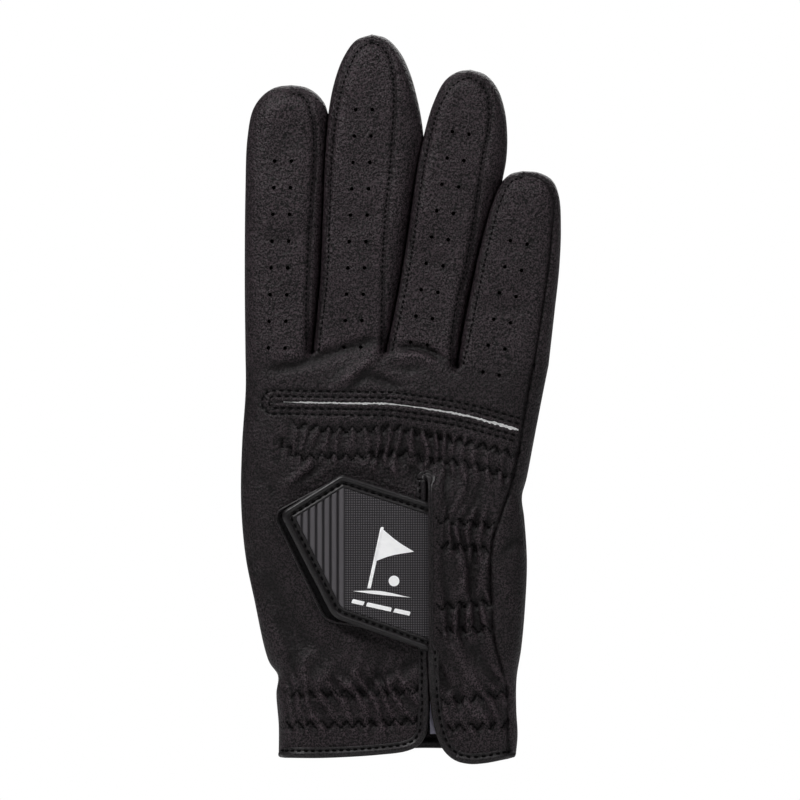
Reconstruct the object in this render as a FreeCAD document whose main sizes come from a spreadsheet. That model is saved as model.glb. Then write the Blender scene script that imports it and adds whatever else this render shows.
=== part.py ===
"""Golf glove for the right hand, back of the hand towards -Y and fingers up.

The glove is laid flat and hollow: a back sheet and a palm sheet of thin leather, with side
walls between them, in the hand and in every finger.  X runs across the hand from the index
side (-X) to the little-finger side (+X), Z from the wrist to the fingertips, and Y through
the thickness.  The origin is the centre of the wrist opening.  Lengths are in millimetres.
"""
import FreeCAD
import Part
import Sketcher
import math
import os

V = FreeCAD.Vector

# name, value, what it is
DIMENSIONS = [
    ("leather", 0.8, "thickness of the leather"),
    ("hand_half", 8.0, "half the depth of the hand part"),
    ("finger_half", 6.5, "half the depth of a finger"),
    ("cuff_left", -36.0, "cuff, index side"),
    ("cuff_right", 36.8, "cuff, little-finger side"),
    ("cuff_floor", 3.0, "lower edge of the cuff"),
    ("cuff_drop", 0.4, "lower edge of the flap beside the opening"),
    ("waist_z", 24.0, "level where the elastic draws the wrist in"),
    ("waist_left", -35.4, "waist, index side"),
    ("waist_right", 35.8, "waist, little-finger side"),
    ("palm_bulge_left", 170.0, "radius of the index-side edge"),
    ("heel_z", 83.0, "level of the notch above the heel of the hand"),
    ("heel_right", 37.4, "notch above the heel, little-finger side"),
    ("heel_bulge", 160.0, "radius of the heel edge"),
    ("root_left", -46.0, "finger roots, index side"),
    ("root_right", 44.6, "finger roots, little-finger side"),
    ("root_z", 124.0, "roots of the index, middle and ring fingers"),
    ("root_low", 119.6, "root of the little finger"),
    ("root_step", 18.6, "place of the step between the ring and little roots"),
    ("wall_z", 117.2, "top of the side walls and of the palm, clear of a bent finger"),
    ("wall_low", 112.6, "the same below the little finger"),
    ("seam_cuff", 33.4, "back seam at the cuff"),
    ("seam_heel", 27.4, "back seam beside the heel"),
    ("seam_heel_z", 58.0, "level of the innermost point of the back seam"),
    ("seam_notch", 32.2, "back seam at the notch"),
    ("seam_root", 41.6, "back seam at the little finger"),
    ("wrap_step", 1.8, "how much further in the side wrap ends below the little finger"),
    ("slit_left", 8.2, "wrist opening, index side"),
    ("slit_right", 10.4, "wrist opening, little-finger side"),
    ("slit_top", 87.0, "top of the wrist opening"),
    ("slit_spread", 2.4, "how much further the opening spreads at the cuff"),
    ("flap_round", 6.0, "radius of the flap corners"),
    ("slot_left", -37.0, "knuckle slot, index end"),
    ("slot_right", 35.6, "knuckle slot, little-finger end"),
    ("slot_left_z", 109.2, "level of the knuckle slot at its index end"),
    ("slot_right_z", 101.4, "level of the knuckle slot at its little-finger end"),
    ("slot_half", 0.6, "half the height of the knuckle slot"),
    ("strip_half", 3.0, "half the height of the stretch strip under the slot"),
    ("strip_deep", 0.6, "thickness of the stretch strip"),
    ("band_deep", 0.8, "thickness of an elastic band"),
    ("band_tall", 8.4, "height of an elastic band"),
    ("band_margin", 1.4, "how far an elastic band stays from a seam"),
    ("knuckle_band_left", -34.8, "index end of the knuckle elastic"),
    ("knuckle_band_left_z", 99.2, "level of the knuckle elastic at its index end"),
    ("knuckle_band_right_z", 93.4, "level of the knuckle elastic at its little-finger end"),
    ("upper_band_z", 74.0, "level of the upper elastic of the little-finger flap"),
    ("lower_band_z", 46.0, "level of the lower elastic of the little-finger flap"),
    ("bind_wide", 2.2, "width of the edge binding"),
    ("bind_deep", 1.2, "how far the edge binding stands out"),
    ("pile_deep", 0.6, "thickness of the hook and loop pads"),
    ("pile_gap", 0.3, "gap between the hook pad and the loop pad"),
    ("tab_deep", 1.0, "thickness of the tab's leather and of its moulded panel"),
    ("tab_tip_x", -34.2, "tip corner of the tab"),
    ("tab_tip_z", 75.6, "tip corner of the tab"),
    ("tab_peak_x", -16.2, "upper corner of the tab"),
    ("tab_peak_z", 87.0, "upper corner of the tab"),
    ("tab_root_x", 9.0, "edge of the tab at its fold"),
    ("tab_root_top", 79.2, "upper end of the tab's fold"),
    ("tab_root_foot", 35.4, "lower end of the tab's fold"),
    ("tab_heel_x", -19.2, "lower corner of the tab"),
    ("tab_heel_z", 44.6, "lower corner of the tab"),
    ("tab_rim", 2.4, "width of the rolled rim of the tab"),
    ("tab_rim_deep", 1.4, "height of the rolled rim of the tab"),
    ("emblem_deep", 0.4, "height of the raised emblem"),
    ("emblem_left", -7.7, "emblem, tip side"),
    ("emblem_right", 2.3, "emblem, fold side"),
    ("emblem_low", 55.6, "lower edge of the emblem"),
    ("emblem_high", 67.6, "upper edge of the emblem"),
    ("loop_margin", 2.2, "how far the loop pad reaches past the tab"),
    ("loop_right", 4.9, "edge of the loop pad beside the opening"),
    ("loop_foot", 41.4, "lower corner of the loop pad beside the opening"),
    ("anchor_wide", 12.0, "width of the sewn root of the tab"),
    ("anchor_play", 0.3, "play between the root of the tab and the edge of the opening"),
    ("anchor_short", 2.0, "how much shorter the root is than the fold, at each end"),
    ("label_wide", 14.0, "width of the size label"),
    ("label_tall", 14.0, "height of the size label"),
    ("label_deep", 0.4, "thickness of the size label"),
    ("label_z", 13.8, "level of the middle of the size label"),
    ("vent_half", 0.55, "radius of a vent hole"),
    ("vent_space", 5.1, "distance between the two holes of a pair"),
    ("vent_pitch", 8.0, "distance between two pairs"),
    ("thumb_x", -26.0, "centre of the thumb hole"),
    ("thumb_z", 55.0, "centre of the thumb hole"),
    ("thumb_lean", 20.0, "lean of the folded thumb"),
    ("thumb_near", 8.5, "inner face of the folded thumb"),
    ("thumb_far", 17.0, "outer face of the folded thumb"),
    ("thumb_root", 16.0, "radius of the thumb's root"),
    ("thumb_mid", 13.2, "half the width of the thumb at its middle"),
    ("thumb_mid_z", 28.0, "level of the thumb's middle"),
    ("thumb_tip", 11.0, "radius of the thumb's tip"),
    ("thumb_long", 58.0, "length of the thumb from its root's centre"),
    ("thumb_mouth", 18.0, "where the thumb's inner sheet begins"),
    ("thumb_mouth_half", 13.8, "half the width of the thumb's inner sheet where it begins"),
    ("hole_half", 9.0, "half the width of the thumb hole"),
    ("hole_rise", 11.0, "half the straight height of the thumb hole"),
]

# finger: root x, root z, lean in degrees, length, half widths at root, middle and tip,
# level of the middle, first vent level, number of vent pairs, sideways place of the vents
FINGERS = {
    "index": (-35.9, 124.5, 1.6, 79.0, 9.7, 11.0, 10.9, 42.0, 7.2, 7, 0.0),
    "middle": (-13.6, 124.5, 4.4, 94.0, 10.0, 12.2, 10.0, 52.0, 8.4, 9, -0.8),
    "ring": (8.2, 124.5, 9.5, 86.0, 9.2, 11.4, 9.7, 46.0, 6.2, 8, -0.4),
    "little": (31.4, 120.0, 8.7, 59.5, 11.0, 11.0, 9.3, 24.0, 6.4, 5, -1.6),
}
FINGER_WORDS = ("x", "z", "lean", "long", "root", "mid", "tip", "mid_z", "vent_z", "vents", "vent_x")


class Dim:
    """A length with its value and the sheet expression that gives it."""

    def __init__(self, value, text=None):
        self.value = value
        self.text = text or f"({value})"

    def __add__(self, other):
        return join(self, "+", other)

    def __sub__(self, other):
        return join(self, "-", other)

    def __mul__(self, other):
        return join(self, "*", other)

    def __neg__(self):
        return join(Dim(0.0), "-", self)


def join(first, sign, second):
    """Two dimensions added, subtracted or multiplied, as a value and as an expression."""
    if not isinstance(second, Dim):
        second = Dim(float(second))
    if sign == "+":
        value = first.value + second.value
    elif sign == "-":
        value = first.value - second.value
    else:
        value = first.value * second.value
    return Dim(value, f"({first.text} {sign} {second.text})")


def write_sheet(doc):
    """Put every driving dimension into the sheet and return them by name."""
    sheet = doc.addObject("Spreadsheet::Sheet", "Sheet")
    rows = list(DIMENSIONS)
    for finger, values in FINGERS.items():
        for word, value in zip(FINGER_WORDS, values):
            rows.append((f"{finger}_{word}", value, f"{finger} finger, {word}"))
    dims = {}
    for line, (alias, value, note) in enumerate(rows, start=1):
        sheet.set(f"A{line}", str(value))
        sheet.setAlias(f"A{line}", alias)
        sheet.set(f"B{line}", note)
        dims[alias] = Dim(float(value), f"Sheet.{alias}")
    doc.recompute()
    return dims


DOC = FreeCAD.newDocument("golf_glove")
D = write_sheet(DOC)
ZERO = Dim(0.0)
SUBPARTS = []


def make_body(label):
    """A new sub-part; its label is the name of its node."""
    body = DOC.addObject("PartDesign::Body", label)
    body.Label = label
    SUBPARTS.append(body)
    return body


def make_sketch(body, role, level, name):
    """A sketch on one of the body's origin planes, moved along the plane's normal."""
    sketch = body.newObject("Sketcher::SketchObject", f"{body.Name}_{name}")
    plane = [item for item in body.Origin.OriginFeatures if item.Role == role][0]
    sketch.AttachmentSupport = (plane, [""])
    sketch.MapMode = "FlatFace"
    sketch.setExpression("AttachmentOffset.Base.z", level.text)
    return sketch


def arc_between(start, end, radius):
    """The short arc from start to end; a positive radius bulges to the right of the travel."""
    chord = end - start
    middle = (start + end) * 0.5
    side = V(-chord.y, chord.x, 0).normalize() * math.copysign(1.0, radius)
    rise = math.sqrt(max(radius**2 - (chord.Length / 2) ** 2, 0.0))
    centre = middle + side * rise
    first, last = (start, end) if radius > 0 else (end, start)
    turns = [math.atan2(point.y - centre.y, point.x - centre.x) for point in (first, last)]
    return Part.ArcOfCircle(Part.Circle(centre, V(0, 0, 1), abs(radius)), turns[0], turns[1])


def draw(sketch, corners, closed=True):
    """A chain of lines and arcs through corners (x, z) or (x, z, radius of the next edge)."""
    points = [V(corner[0].value, corner[1].value, 0) for corner in corners]
    count = len(corners) if closed else len(corners) - 1
    first = sketch.GeometryCount
    ends = []
    for step in range(count):
        start, end = points[step], points[(step + 1) % len(points)]
        radius = corners[step][2] if len(corners[step]) > 2 else None
        if radius is None:
            edge = sketch.addGeometry(Part.LineSegment(start, end))
            ends.append((1, 2))
        else:
            edge = sketch.addGeometry(arc_between(start, end, radius.value))
            ends.append((1, 2) if radius.value > 0 else (2, 1))
            size = radius if radius.value > 0 else -radius
            bind(sketch, "Radius", (edge,), size, f"round_{first + step}")
        place = corners[step]
        bind(sketch, "DistanceX", (edge, ends[-1][0]), place[0], f"x_{first + step}")
        bind(sketch, "DistanceY", (edge, ends[-1][0]), place[1], f"y_{first + step}")
    for step in range(count if closed else count - 1):
        following = (step + 1) % count
        sketch.addConstraint(Sketcher.Constraint(
            "Coincident", first + step, ends[step][1], first + following, ends[following][0]))
    if not closed:
        bind(sketch, "DistanceX", (first + count - 1, ends[-1][1]), corners[-1][0], f"x_end_{first}")
        bind(sketch, "DistanceY", (first + count - 1, ends[-1][1]), corners[-1][1], f"y_end_{first}")


def bind(sketch, kind, target, size, name):
    """A constraint whose value follows the sheet."""
    index = sketch.addConstraint(Sketcher.Constraint(kind, *target, size.value))
    sketch.renameConstraint(index, name)
    sketch.setExpression(f"Constraints.{name}", size.text)


def draw_circle(sketch, x, z, radius):
    """A circle held by its centre and radius."""
    circle = sketch.addGeometry(Part.Circle(V(x.value, z.value, 0), V(0, 0, 1), radius.value))
    bind(sketch, "Radius", (circle,), radius, f"round_{circle}")
    bind(sketch, "DistanceX", (circle, 3), x, f"x_{circle}")
    bind(sketch, "DistanceY", (circle, 3), z, f"y_{circle}")


def pad(body, sketch, length):
    """A pad along the sketch's normal."""
    feature = body.newObject("PartDesign::Pad", f"{sketch.Name}_pad")
    feature.Profile = sketch
    feature.setExpression("Length", length.text)
    sketch.Visibility = False
    return feature


def pocket(body, sketch, length):
    """A pocket against the sketch's normal."""
    feature = body.newObject("PartDesign::Pocket", f"{sketch.Name}_pocket")
    feature.Profile = sketch
    feature.setExpression("Length", length.text)
    return feature


def sheet_part(label, corners, back, deep):
    """A flat sub-part in the XZ plane: its face towards -Y lies at y = back."""
    body = make_body(label)
    sketch = make_sketch(body, "XZ_Plane", -back - deep, "outline")
    draw(sketch, corners)
    pad(body, sketch, deep)
    return body


def hole_through(body, corners, back, deep):
    """A pocket through a sheet whose face towards -Y lies at y = back."""
    sketch = make_sketch(body, "XZ_Plane", -back, "hole")
    draw(sketch, corners)
    return pocket(body, sketch, deep)


# ---- the hand ----

def left_edge(inset):
    """The index-side edge from the cuff to the finger roots, moved in by inset."""
    return [
        (D["cuff_left"] + inset, D["cuff_floor"]),
        (D["waist_left"] + inset, D["waist_z"], -(D["palm_bulge_left"] - inset)),
        (D["root_left"] + inset, D["wall_z"]),
    ]


def right_edge(inset):
    """The little-finger-side edge from the cuff to the finger roots, moved in by inset."""
    return [
        (D["cuff_right"] - inset, D["cuff_floor"]),
        (D["waist_right"] - inset, D["waist_z"], D["heel_bulge"] - inset),
        (D["heel_right"] - inset, D["heel_z"]),
        (D["root_right"] - inset, D["wall_low"]),
    ]


def seam_line():
    """The back seam from the cuff to the little finger."""
    return [
        (D["seam_cuff"], D["cuff_floor"]),
        (D["seam_cuff"], D["waist_z"]),
        (D["seam_heel"], D["seam_heel_z"]),
        (D["seam_notch"], D["heel_z"]),
        (D["seam_root"], D["root_low"]),
    ]


def back_leather():
    """The back sheet with the wrist opening and the knuckle slot."""
    left = D["slit_left"]
    right = D["slit_right"]
    spread = D["slit_spread"]
    turn = D["flap_round"]
    half_slit = (right - left) * 0.5
    outline = left_edge(ZERO) + [
        (D["root_left"], D["root_z"]),
        (D["root_step"], D["root_z"]),
        (D["root_step"], D["root_low"]),
    ] + seam_line()[::-1] + [
        (right + spread + turn, D["cuff_drop"], -turn),
        (right + spread, D["cuff_drop"] + turn),
        (right, D["waist_z"] + turn),
        (right, D["slit_top"] - half_slit, half_slit),
        (left + half_slit, D["slit_top"], half_slit),
        (left, D["slit_top"] - half_slit),
        (left, D["cuff_floor"] + turn, -turn),
        (left - turn, D["cuff_floor"]),
    ]
    body = sheet_part("back_leather", outline, -D["hand_half"], D["leather"])
    half = D["slot_half"]
    slot = [
        (D["slot_left"], D["slot_left_z"] - half),
        (D["slot_right"], D["slot_right_z"] - half),
        (D["slot_right"], D["slot_right_z"] + half),
        (D["slot_left"], D["slot_left_z"] + half),
    ]
    hole_through(body, slot, -D["hand_half"], D["leather"])


def palm_leather():
    """The palm sheet with the thumb hole."""
    outline = left_edge(ZERO) + [
        (D["root_step"], D["wall_z"]),
        (D["root_step"], D["wall_low"]),
    ] + turned(right_edge(ZERO))
    body = sheet_part("palm_leather", outline, D["hand_half"] - D["leather"], D["leather"])
    near, far = D["thumb_x"] - D["hole_half"], D["thumb_x"] + D["hole_half"]
    foot, head = D["thumb_z"] - D["hole_rise"], D["thumb_z"] + D["hole_rise"]
    turn = D["hole_half"]
    hole = [
        (near, foot, turn),
        (D["thumb_x"], foot - turn, turn),
        (far, foot),
        (far, head, turn),
        (D["thumb_x"], head + turn, turn),
        (near, head),
    ]
    hole_through(body, hole, D["hand_half"] - D["leather"], D["leather"])


def wall_depth():
    """The depth between the back sheet and the palm sheet."""
    return (D["hand_half"] - D["leather"]) * 2


def side_walls():
    """The two folds of leather that join the back and the palm at the sides of the hand."""
    inner = -D["hand_half"] + D["leather"]
    index_wall = left_edge(ZERO) + turned(left_edge(D["leather"]))
    sheet_part("index_side_wrap", index_wall, inner, wall_depth())
    little_wall = right_edge(D["leather"]) + turned(right_edge(ZERO))
    body = sheet_part("little_side_wrap", little_wall, inner, wall_depth())
    flange = seam_line()[:4] + [(D["seam_root"] - D["wrap_step"], D["wall_low"])] + turned(right_edge(ZERO))
    sketch = make_sketch(body, "XZ_Plane", D["hand_half"] - D["leather"], "flange")
    draw(sketch, flange)
    pad(body, sketch, D["leather"])


def turned(corners):
    """The same chain of edges travelled the other way."""
    chain = []
    for step in range(len(corners) - 1, -1, -1):
        before = corners[step - 1] if step else ()
        chain.append(corners[step][:2] + tuple(-radius for radius in before[2:]))
    return chain


def band(label, left, right, level, end_level, back, deep, tall):
    """A straight strip of elastic or fabric between two ends."""
    half = tall * 0.5
    outline = [
        (left, level - half),
        (right, end_level - half),
        (right, end_level + half),
        (left, level + half),
    ]
    return sheet_part(label, outline, back, deep)


def elastics():
    """The stretch strip in the knuckle slot and the elastic bands sewn inside the sheets."""
    back = -D["hand_half"] + D["leather"]
    edge = D["bind_wide"]
    margin = D["band_margin"]
    band("knuckle_stretch_strip", D["slot_left"], D["slot_right"], D["slot_left_z"], D["slot_right_z"],
         back, D["strip_deep"], D["strip_half"] * 2)
    band("knuckle_elastic", D["knuckle_band_left"], D["seam_notch"] - margin, D["knuckle_band_left_z"],
         D["knuckle_band_right_z"], back, D["band_deep"], D["band_tall"])
    left, right = D["slit_right"] + edge, D["seam_heel"] - margin
    band("upper_flap_elastic", left, right, D["upper_band_z"], D["upper_band_z"],
         back, D["band_deep"], D["band_tall"])
    band("lower_flap_elastic", left, right, D["lower_band_z"], D["lower_band_z"],
         back, D["band_deep"], D["band_tall"])
    cuff_level = D["waist_z"] - D["band_tall"] * 0.5
    band("cuff_elastic_index_side", D["waist_left"] + margin, D["slit_left"] - edge, cuff_level,
         cuff_level, back, D["band_deep"], D["band_tall"])
    band("cuff_elastic_little_side", D["slit_right"] + D["slit_spread"] + edge, D["seam_cuff"] - margin,
         cuff_level, cuff_level, back, D["band_deep"], D["band_tall"])
    palm_face = D["hand_half"] - D["leather"]
    band("cuff_elastic_palm_side", D["waist_left"] + margin, D["waist_right"] - margin, cuff_level,
         cuff_level, palm_face - D["band_deep"], D["band_deep"], D["band_tall"])
    half = D["label_wide"] * 0.5
    band("size_label", D["slit_right"] - half, D["slit_right"] + half, D["label_z"], D["label_z"],
         palm_face - D["band_deep"] - D["label_deep"], D["label_deep"], D["label_tall"])


def bound_edge(label, path, level):
    """A binding swept along the edge of a sheet; level is its nearer face, counted towards -Y."""
    body = make_body(label)
    spine = make_sketch(body, "XZ_Plane", level, "path")
    draw(spine, path, closed=False)
    start_x, start_z = path[0][:2]
    profile = make_sketch(body, "YZ_Plane", start_x, "section")
    half = D["bind_wide"] * 0.5
    near, far = -level - D["bind_deep"], -level
    foot, head = start_z - half, start_z + half
    draw(profile, [(near, foot), (far, foot), (far, head), (near, head)])
    DOC.recompute()
    sweep = body.newObject("PartDesign::AdditivePipe", f"{label}_sweep")
    sweep.Profile = profile
    sweep.Spine = (spine, [f"Edge{number + 1}" for number in range(spine.GeometryCount)])


def bindings():
    """The bound edges of the opening's two flaps and of the palm at the cuff."""
    inset = D["bind_wide"] * 0.5
    turn = D["flap_round"] - inset
    left, right = D["slit_left"] - inset, D["slit_right"] + D["slit_spread"] + inset
    foot, low = D["cuff_floor"] + inset, D["cuff_drop"] + inset
    back_face = D["hand_half"]
    bound_edge("binding_index_flap", [
        (D["cuff_left"] + inset, foot),
        (left - turn, foot, turn),
        (left, foot + turn),
        (left, D["tab_root_foot"] - inset),
    ], back_face)
    bound_edge("binding_opening", [
        (right + turn, low, -turn),
        (right, low + turn),
        (D["slit_right"] + inset, D["waist_z"] + D["flap_round"]),
        (D["slit_right"] + inset, D["slit_top"]),
    ], back_face)
    bound_edge("binding_little_flap_hem", [
        (right + turn, low),
        (D["seam_cuff"] - inset, D["cuff_floor"] + inset),
    ], back_face)
    bound_edge("binding_palm_hem", [
        (D["cuff_left"] + inset, foot),
        (D["cuff_right"] - inset, foot),
    ], -D["hand_half"] - D["bind_deep"])


# ---- the closure tab ----

# how far a corner of the tab moves, along X and Z, when its two edges move in by one
PEAK_MITRE = 1.1
TIP_MITRE = (1.2, 0.3)
HEEL_MITRE = (0.6, 1.2)


def tab_outline(inset, root_inset):
    """The five-sided tab; inset moves its free edges in, root_inset its fold."""
    return [
        (D["tab_root_x"] - root_inset, D["tab_root_foot"] + inset),
        (D["tab_root_x"] - root_inset, D["tab_root_top"] - inset),
        (D["tab_peak_x"], D["tab_peak_z"] - inset * PEAK_MITRE),
        (D["tab_tip_x"] + inset * TIP_MITRE[0], D["tab_tip_z"] - inset * TIP_MITRE[1]),
        (D["tab_heel_x"] + inset * HEEL_MITRE[0], D["tab_heel_z"] + inset * HEEL_MITRE[1]),
    ]


def closure():
    """The loop pad on the back and the tab with its hook pad, panel, rim and emblem."""
    face = -D["hand_half"]
    margin = D["loop_margin"]
    sheet_part("loop_pad", [
        (D["loop_right"], D["loop_foot"]),
        (D["loop_right"], D["tab_root_top"]),
        (D["tab_peak_x"], D["tab_peak_z"] - margin),
        (D["tab_tip_x"] - margin, D["tab_tip_z"] - margin),
        (D["tab_heel_x"] - margin, D["tab_heel_z"] + margin),
    ], face - D["pile_deep"], D["pile_deep"])
    hook_face = face - D["pile_deep"] - D["pile_gap"] - D["pile_deep"]
    inset = D["tab_rim"]
    sheet_part("hook_pad", tab_outline(inset, inset * 2), hook_face, D["pile_deep"])
    base_face = hook_face - D["tab_deep"]
    sheet_part("tab_leather", tab_outline(ZERO, ZERO), base_face, D["tab_deep"])
    panel_face = base_face - D["tab_deep"]
    sheet_part("tab_panel", tab_outline(inset, ZERO), panel_face, D["tab_deep"])
    rim_face = base_face - D["tab_rim_deep"]
    rim = tab_outline(ZERO, ZERO) + tab_outline(inset, ZERO)[::-1]
    sheet_part("tab_rim", open_ring(rim), rim_face, D["tab_rim_deep"])
    emblem_face = panel_face - D["emblem_deep"]
    sheet_part("tab_emblem", [
        (D["emblem_left"], D["emblem_low"]),
        (D["emblem_right"], D["emblem_low"]),
        (D["emblem_right"], D["emblem_high"]),
        (D["emblem_left"], D["emblem_high"]),
    ], emblem_face, D["emblem_deep"])
    tab_anchor()


def open_ring(ring):
    """The rim's corners in order: along the outer edge, then back along the inner edge."""
    outer, inner = ring[:5], ring[5:]
    return outer[1:] + [outer[0]] + [inner[-1]] + inner[:-1]


def tab_anchor():
    """The sewn root of the tab: it lies under the little-finger flap and rises in the opening."""
    body = make_body("tab_anchor")
    short = D["anchor_short"]
    sketch = make_sketch(body, "XY_Plane", D["tab_root_foot"] + short, "section")
    back = -D["hand_half"] + D["leather"] + D["band_deep"]
    near = D["slit_left"] + D["anchor_play"]
    riser = near + D["leather"]
    top = -D["hand_half"] - D["pile_deep"] - D["pile_gap"]
    far = riser + D["anchor_wide"]
    draw(sketch, [
        (near, top), (riser, top), (riser, back), (far, back), (far, back + D["leather"]),
        (near, back + D["leather"]),
    ])
    pad(body, sketch, D["tab_root_top"] - D["tab_root_foot"] - short * 2)


# ---- the fingers ----

def finger_outline(root, mid, tip, mid_z, long):
    """Half of a finger's outline: root, middle, shoulder and the end of the tip."""
    return [(root, ZERO), (mid, mid_z), (tip, long - tip, tip), (ZERO, long)]


def mirror(corners):
    """The same chain on the other side, travelled the other way."""
    return [(-corner[0], corner[1]) + tuple(-radius for radius in corner[2:]) for corner in turned(corners)]


def closed_finger(half):
    """A whole outline from a half one."""
    return half[:-1] + mirror(half)


def finger_wall(label, half, thick, side, depth, back):
    """One side wall of a finger, from the root to the end of the tip."""
    outer = half
    inner = [(corner[0] - thick, corner[1]) for corner in half[:2]]
    shoulder = half[2]
    turn = shoulder[2] - thick
    inner.append((shoulder[0] - thick, shoulder[1], turn))
    inner.append((ZERO, half[3][1] - thick))
    ring = outer + turned(inner)
    if side < 0:
        ring = mirror(ring)
    return sheet_part(label, ring, back, depth)


def set_down(body, x, z, lean):
    """Lean a sub-part about Y and put its root in place."""
    body.Placement = FreeCAD.Placement(V(0, 0, 0), FreeCAD.Rotation(V(0, 1, 0), 1))
    body.setExpression("Placement.Rotation.Angle", lean.text)
    body.setExpression("Placement.Base.x", x.text)
    body.setExpression("Placement.Base.z", z.text)


def vents(body, finger, back):
    """Pairs of vent holes along the back of a finger."""
    sketch = make_sketch(body, "XZ_Plane", -back, "vents")
    half = D["vent_space"] * 0.5
    for side in (-1, 1):
        draw_circle(sketch, D[f"{finger}_vent_x"] + half * side, D[f"{finger}_vent_z"], D["vent_half"])
    cut = pocket(body, sketch, D["leather"])
    DOC.recompute()
    rows = body.newObject("PartDesign::LinearPattern", f"{body.Name}_vent_rows")
    rows.Originals = [cut]
    rows.Direction = (sketch, ["V_Axis"])
    count = int(D[f"{finger}_vents"].value)
    rows.Occurrences = count
    rows.setExpression("Length", (D["vent_pitch"] * (count - 1)).text)
    body.Tip = rows


def fingers():
    """The four fingers: a back, a front and two side walls each."""
    wall_names = {
        "index": ("index_side_fold", "index_fourchette"),
        "middle": ("middle_fourchette_index_side", "middle_fourchette_ring_side"),
        "ring": ("ring_fourchette_middle_side", "ring_fourchette_little_side"),
        "little": ("little_fourchette", "little_side_fold"),
    }
    thick, depth = D["leather"], D["finger_half"]
    for finger in FINGERS:
        size = {word: D[f"{finger}_{word}"] for word in FINGER_WORDS}
        half = finger_outline(size["root"], size["mid"], size["tip"], size["mid_z"], size["long"])
        back = sheet_part(f"{finger}_back", closed_finger(half), -depth, thick)
        vents(back, finger, -depth)
        front = sheet_part(f"{finger}_front", closed_finger(half), depth - thick, thick)
        near, far = wall_names[finger]
        gap = (depth - thick) * 2
        left = finger_wall(near, half, thick, -1, gap, -depth + thick)
        right = finger_wall(far, half, thick, 1, gap, -depth + thick)
        for body in (back, front, left, right):
            set_down(body, size["x"], size["z"], size["lean"])


def thumb():
    """The thumb, folded flat behind the palm and open to the thumb hole."""
    root, turn = D["thumb_root"], D["thumb_tip"]
    thick = D["leather"]
    upper = [(root, ZERO), (D["thumb_mid"], D["thumb_mid_z"]), (turn, D["thumb_long"] - turn, turn),
             (ZERO, D["thumb_long"])]
    lower = [(-root, ZERO, root), (ZERO, -root, root)]
    whole = closed_finger(upper)[:-1] + lower
    outer = sheet_part("thumb_outer", whole, D["thumb_far"] - thick, thick)
    mouth = D["thumb_mouth"]
    cap = [(D["thumb_mouth_half"], mouth), (D["thumb_mid"], D["thumb_mid_z"]), upper[2], upper[3]]
    inner = sheet_part("thumb_inner", closed_finger(cap), D["thumb_near"], thick)
    walls = sheet_part("thumb_wall", whole, D["thumb_near"] + thick, thumb_depth())
    slim = [(root - thick, ZERO), (D["thumb_mid"] - thick, D["thumb_mid_z"]),
            (turn - thick, D["thumb_long"] - turn, turn - thick), (ZERO, D["thumb_long"] - thick)]
    slim_lower = [(thick - root, ZERO, root - thick), (ZERO, thick - root, root - thick)]
    hole_through(walls, closed_finger(slim)[:-1] + slim_lower, D["thumb_near"] + thick, thumb_depth())
    for body in (outer, inner, walls):
        set_down(body, D["thumb_x"], D["thumb_z"], D["thumb_lean"])


def thumb_depth():
    """The depth between the two sheets of the thumb."""
    return D["thumb_far"] - D["thumb_near"] - D["leather"] * 2


def check(body):
    """Stop if a sub-part failed or isn't one or more valid solids."""
    for item in [body] + list(body.Group):
        if "Invalid" in item.State or "Error" in item.State:
            raise RuntimeError(f"{item.Label} failed: {item.State}")
    shape = body.Shape
    if shape.isNull() or not shape.isValid() or not shape.Solids:
        raise RuntimeError(f"{body.Label} has no valid solid")


def main():
    """Build every sub-part, check it and write its STEP file."""
    back_leather()
    palm_leather()
    side_walls()
    elastics()
    bindings()
    closure()
    fingers()
    thumb()
    DOC.recompute()
    os.makedirs("parts", exist_ok=True)
    for body in SUBPARTS:
        check(body)
    for body in SUBPARTS:
        body.Shape.exportStep(f"parts/{body.Label}.step")
        box = body.Shape.BoundBox
        print(f"{body.Label:32s} {body.Shape.Volume:9.1f} "
              f"x {box.XMin:7.2f} {box.XMax:7.2f} y {box.YMin:7.2f} {box.YMax:7.2f} "
              f"z {box.ZMin:7.2f} {box.ZMax:7.2f}")


main()
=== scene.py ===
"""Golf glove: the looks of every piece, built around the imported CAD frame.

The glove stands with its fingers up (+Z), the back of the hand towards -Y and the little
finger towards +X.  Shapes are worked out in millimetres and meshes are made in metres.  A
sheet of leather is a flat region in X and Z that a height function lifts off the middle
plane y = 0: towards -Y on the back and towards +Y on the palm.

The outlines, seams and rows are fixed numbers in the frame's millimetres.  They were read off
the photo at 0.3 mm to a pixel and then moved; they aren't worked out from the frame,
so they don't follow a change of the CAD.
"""
import math
import bmesh
import bpy
import numpy as np
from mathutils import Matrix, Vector
from mathutils.geometry import delaunay_2d_cdt


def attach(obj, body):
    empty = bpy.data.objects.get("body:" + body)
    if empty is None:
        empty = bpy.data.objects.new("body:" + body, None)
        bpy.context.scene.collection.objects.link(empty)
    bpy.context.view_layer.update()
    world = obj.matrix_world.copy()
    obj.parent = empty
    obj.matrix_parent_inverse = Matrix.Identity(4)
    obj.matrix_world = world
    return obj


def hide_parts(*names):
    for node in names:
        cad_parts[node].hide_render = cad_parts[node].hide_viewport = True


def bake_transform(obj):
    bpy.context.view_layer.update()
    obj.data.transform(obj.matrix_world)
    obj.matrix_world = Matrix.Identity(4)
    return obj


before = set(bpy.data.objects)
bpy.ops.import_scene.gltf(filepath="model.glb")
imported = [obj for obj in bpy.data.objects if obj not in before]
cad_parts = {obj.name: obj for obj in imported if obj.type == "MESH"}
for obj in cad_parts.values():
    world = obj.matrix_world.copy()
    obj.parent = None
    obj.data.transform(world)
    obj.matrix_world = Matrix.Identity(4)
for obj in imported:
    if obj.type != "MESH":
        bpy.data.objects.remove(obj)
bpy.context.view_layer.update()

MM = 0.001
BACK, PALM = -1, 1
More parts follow.
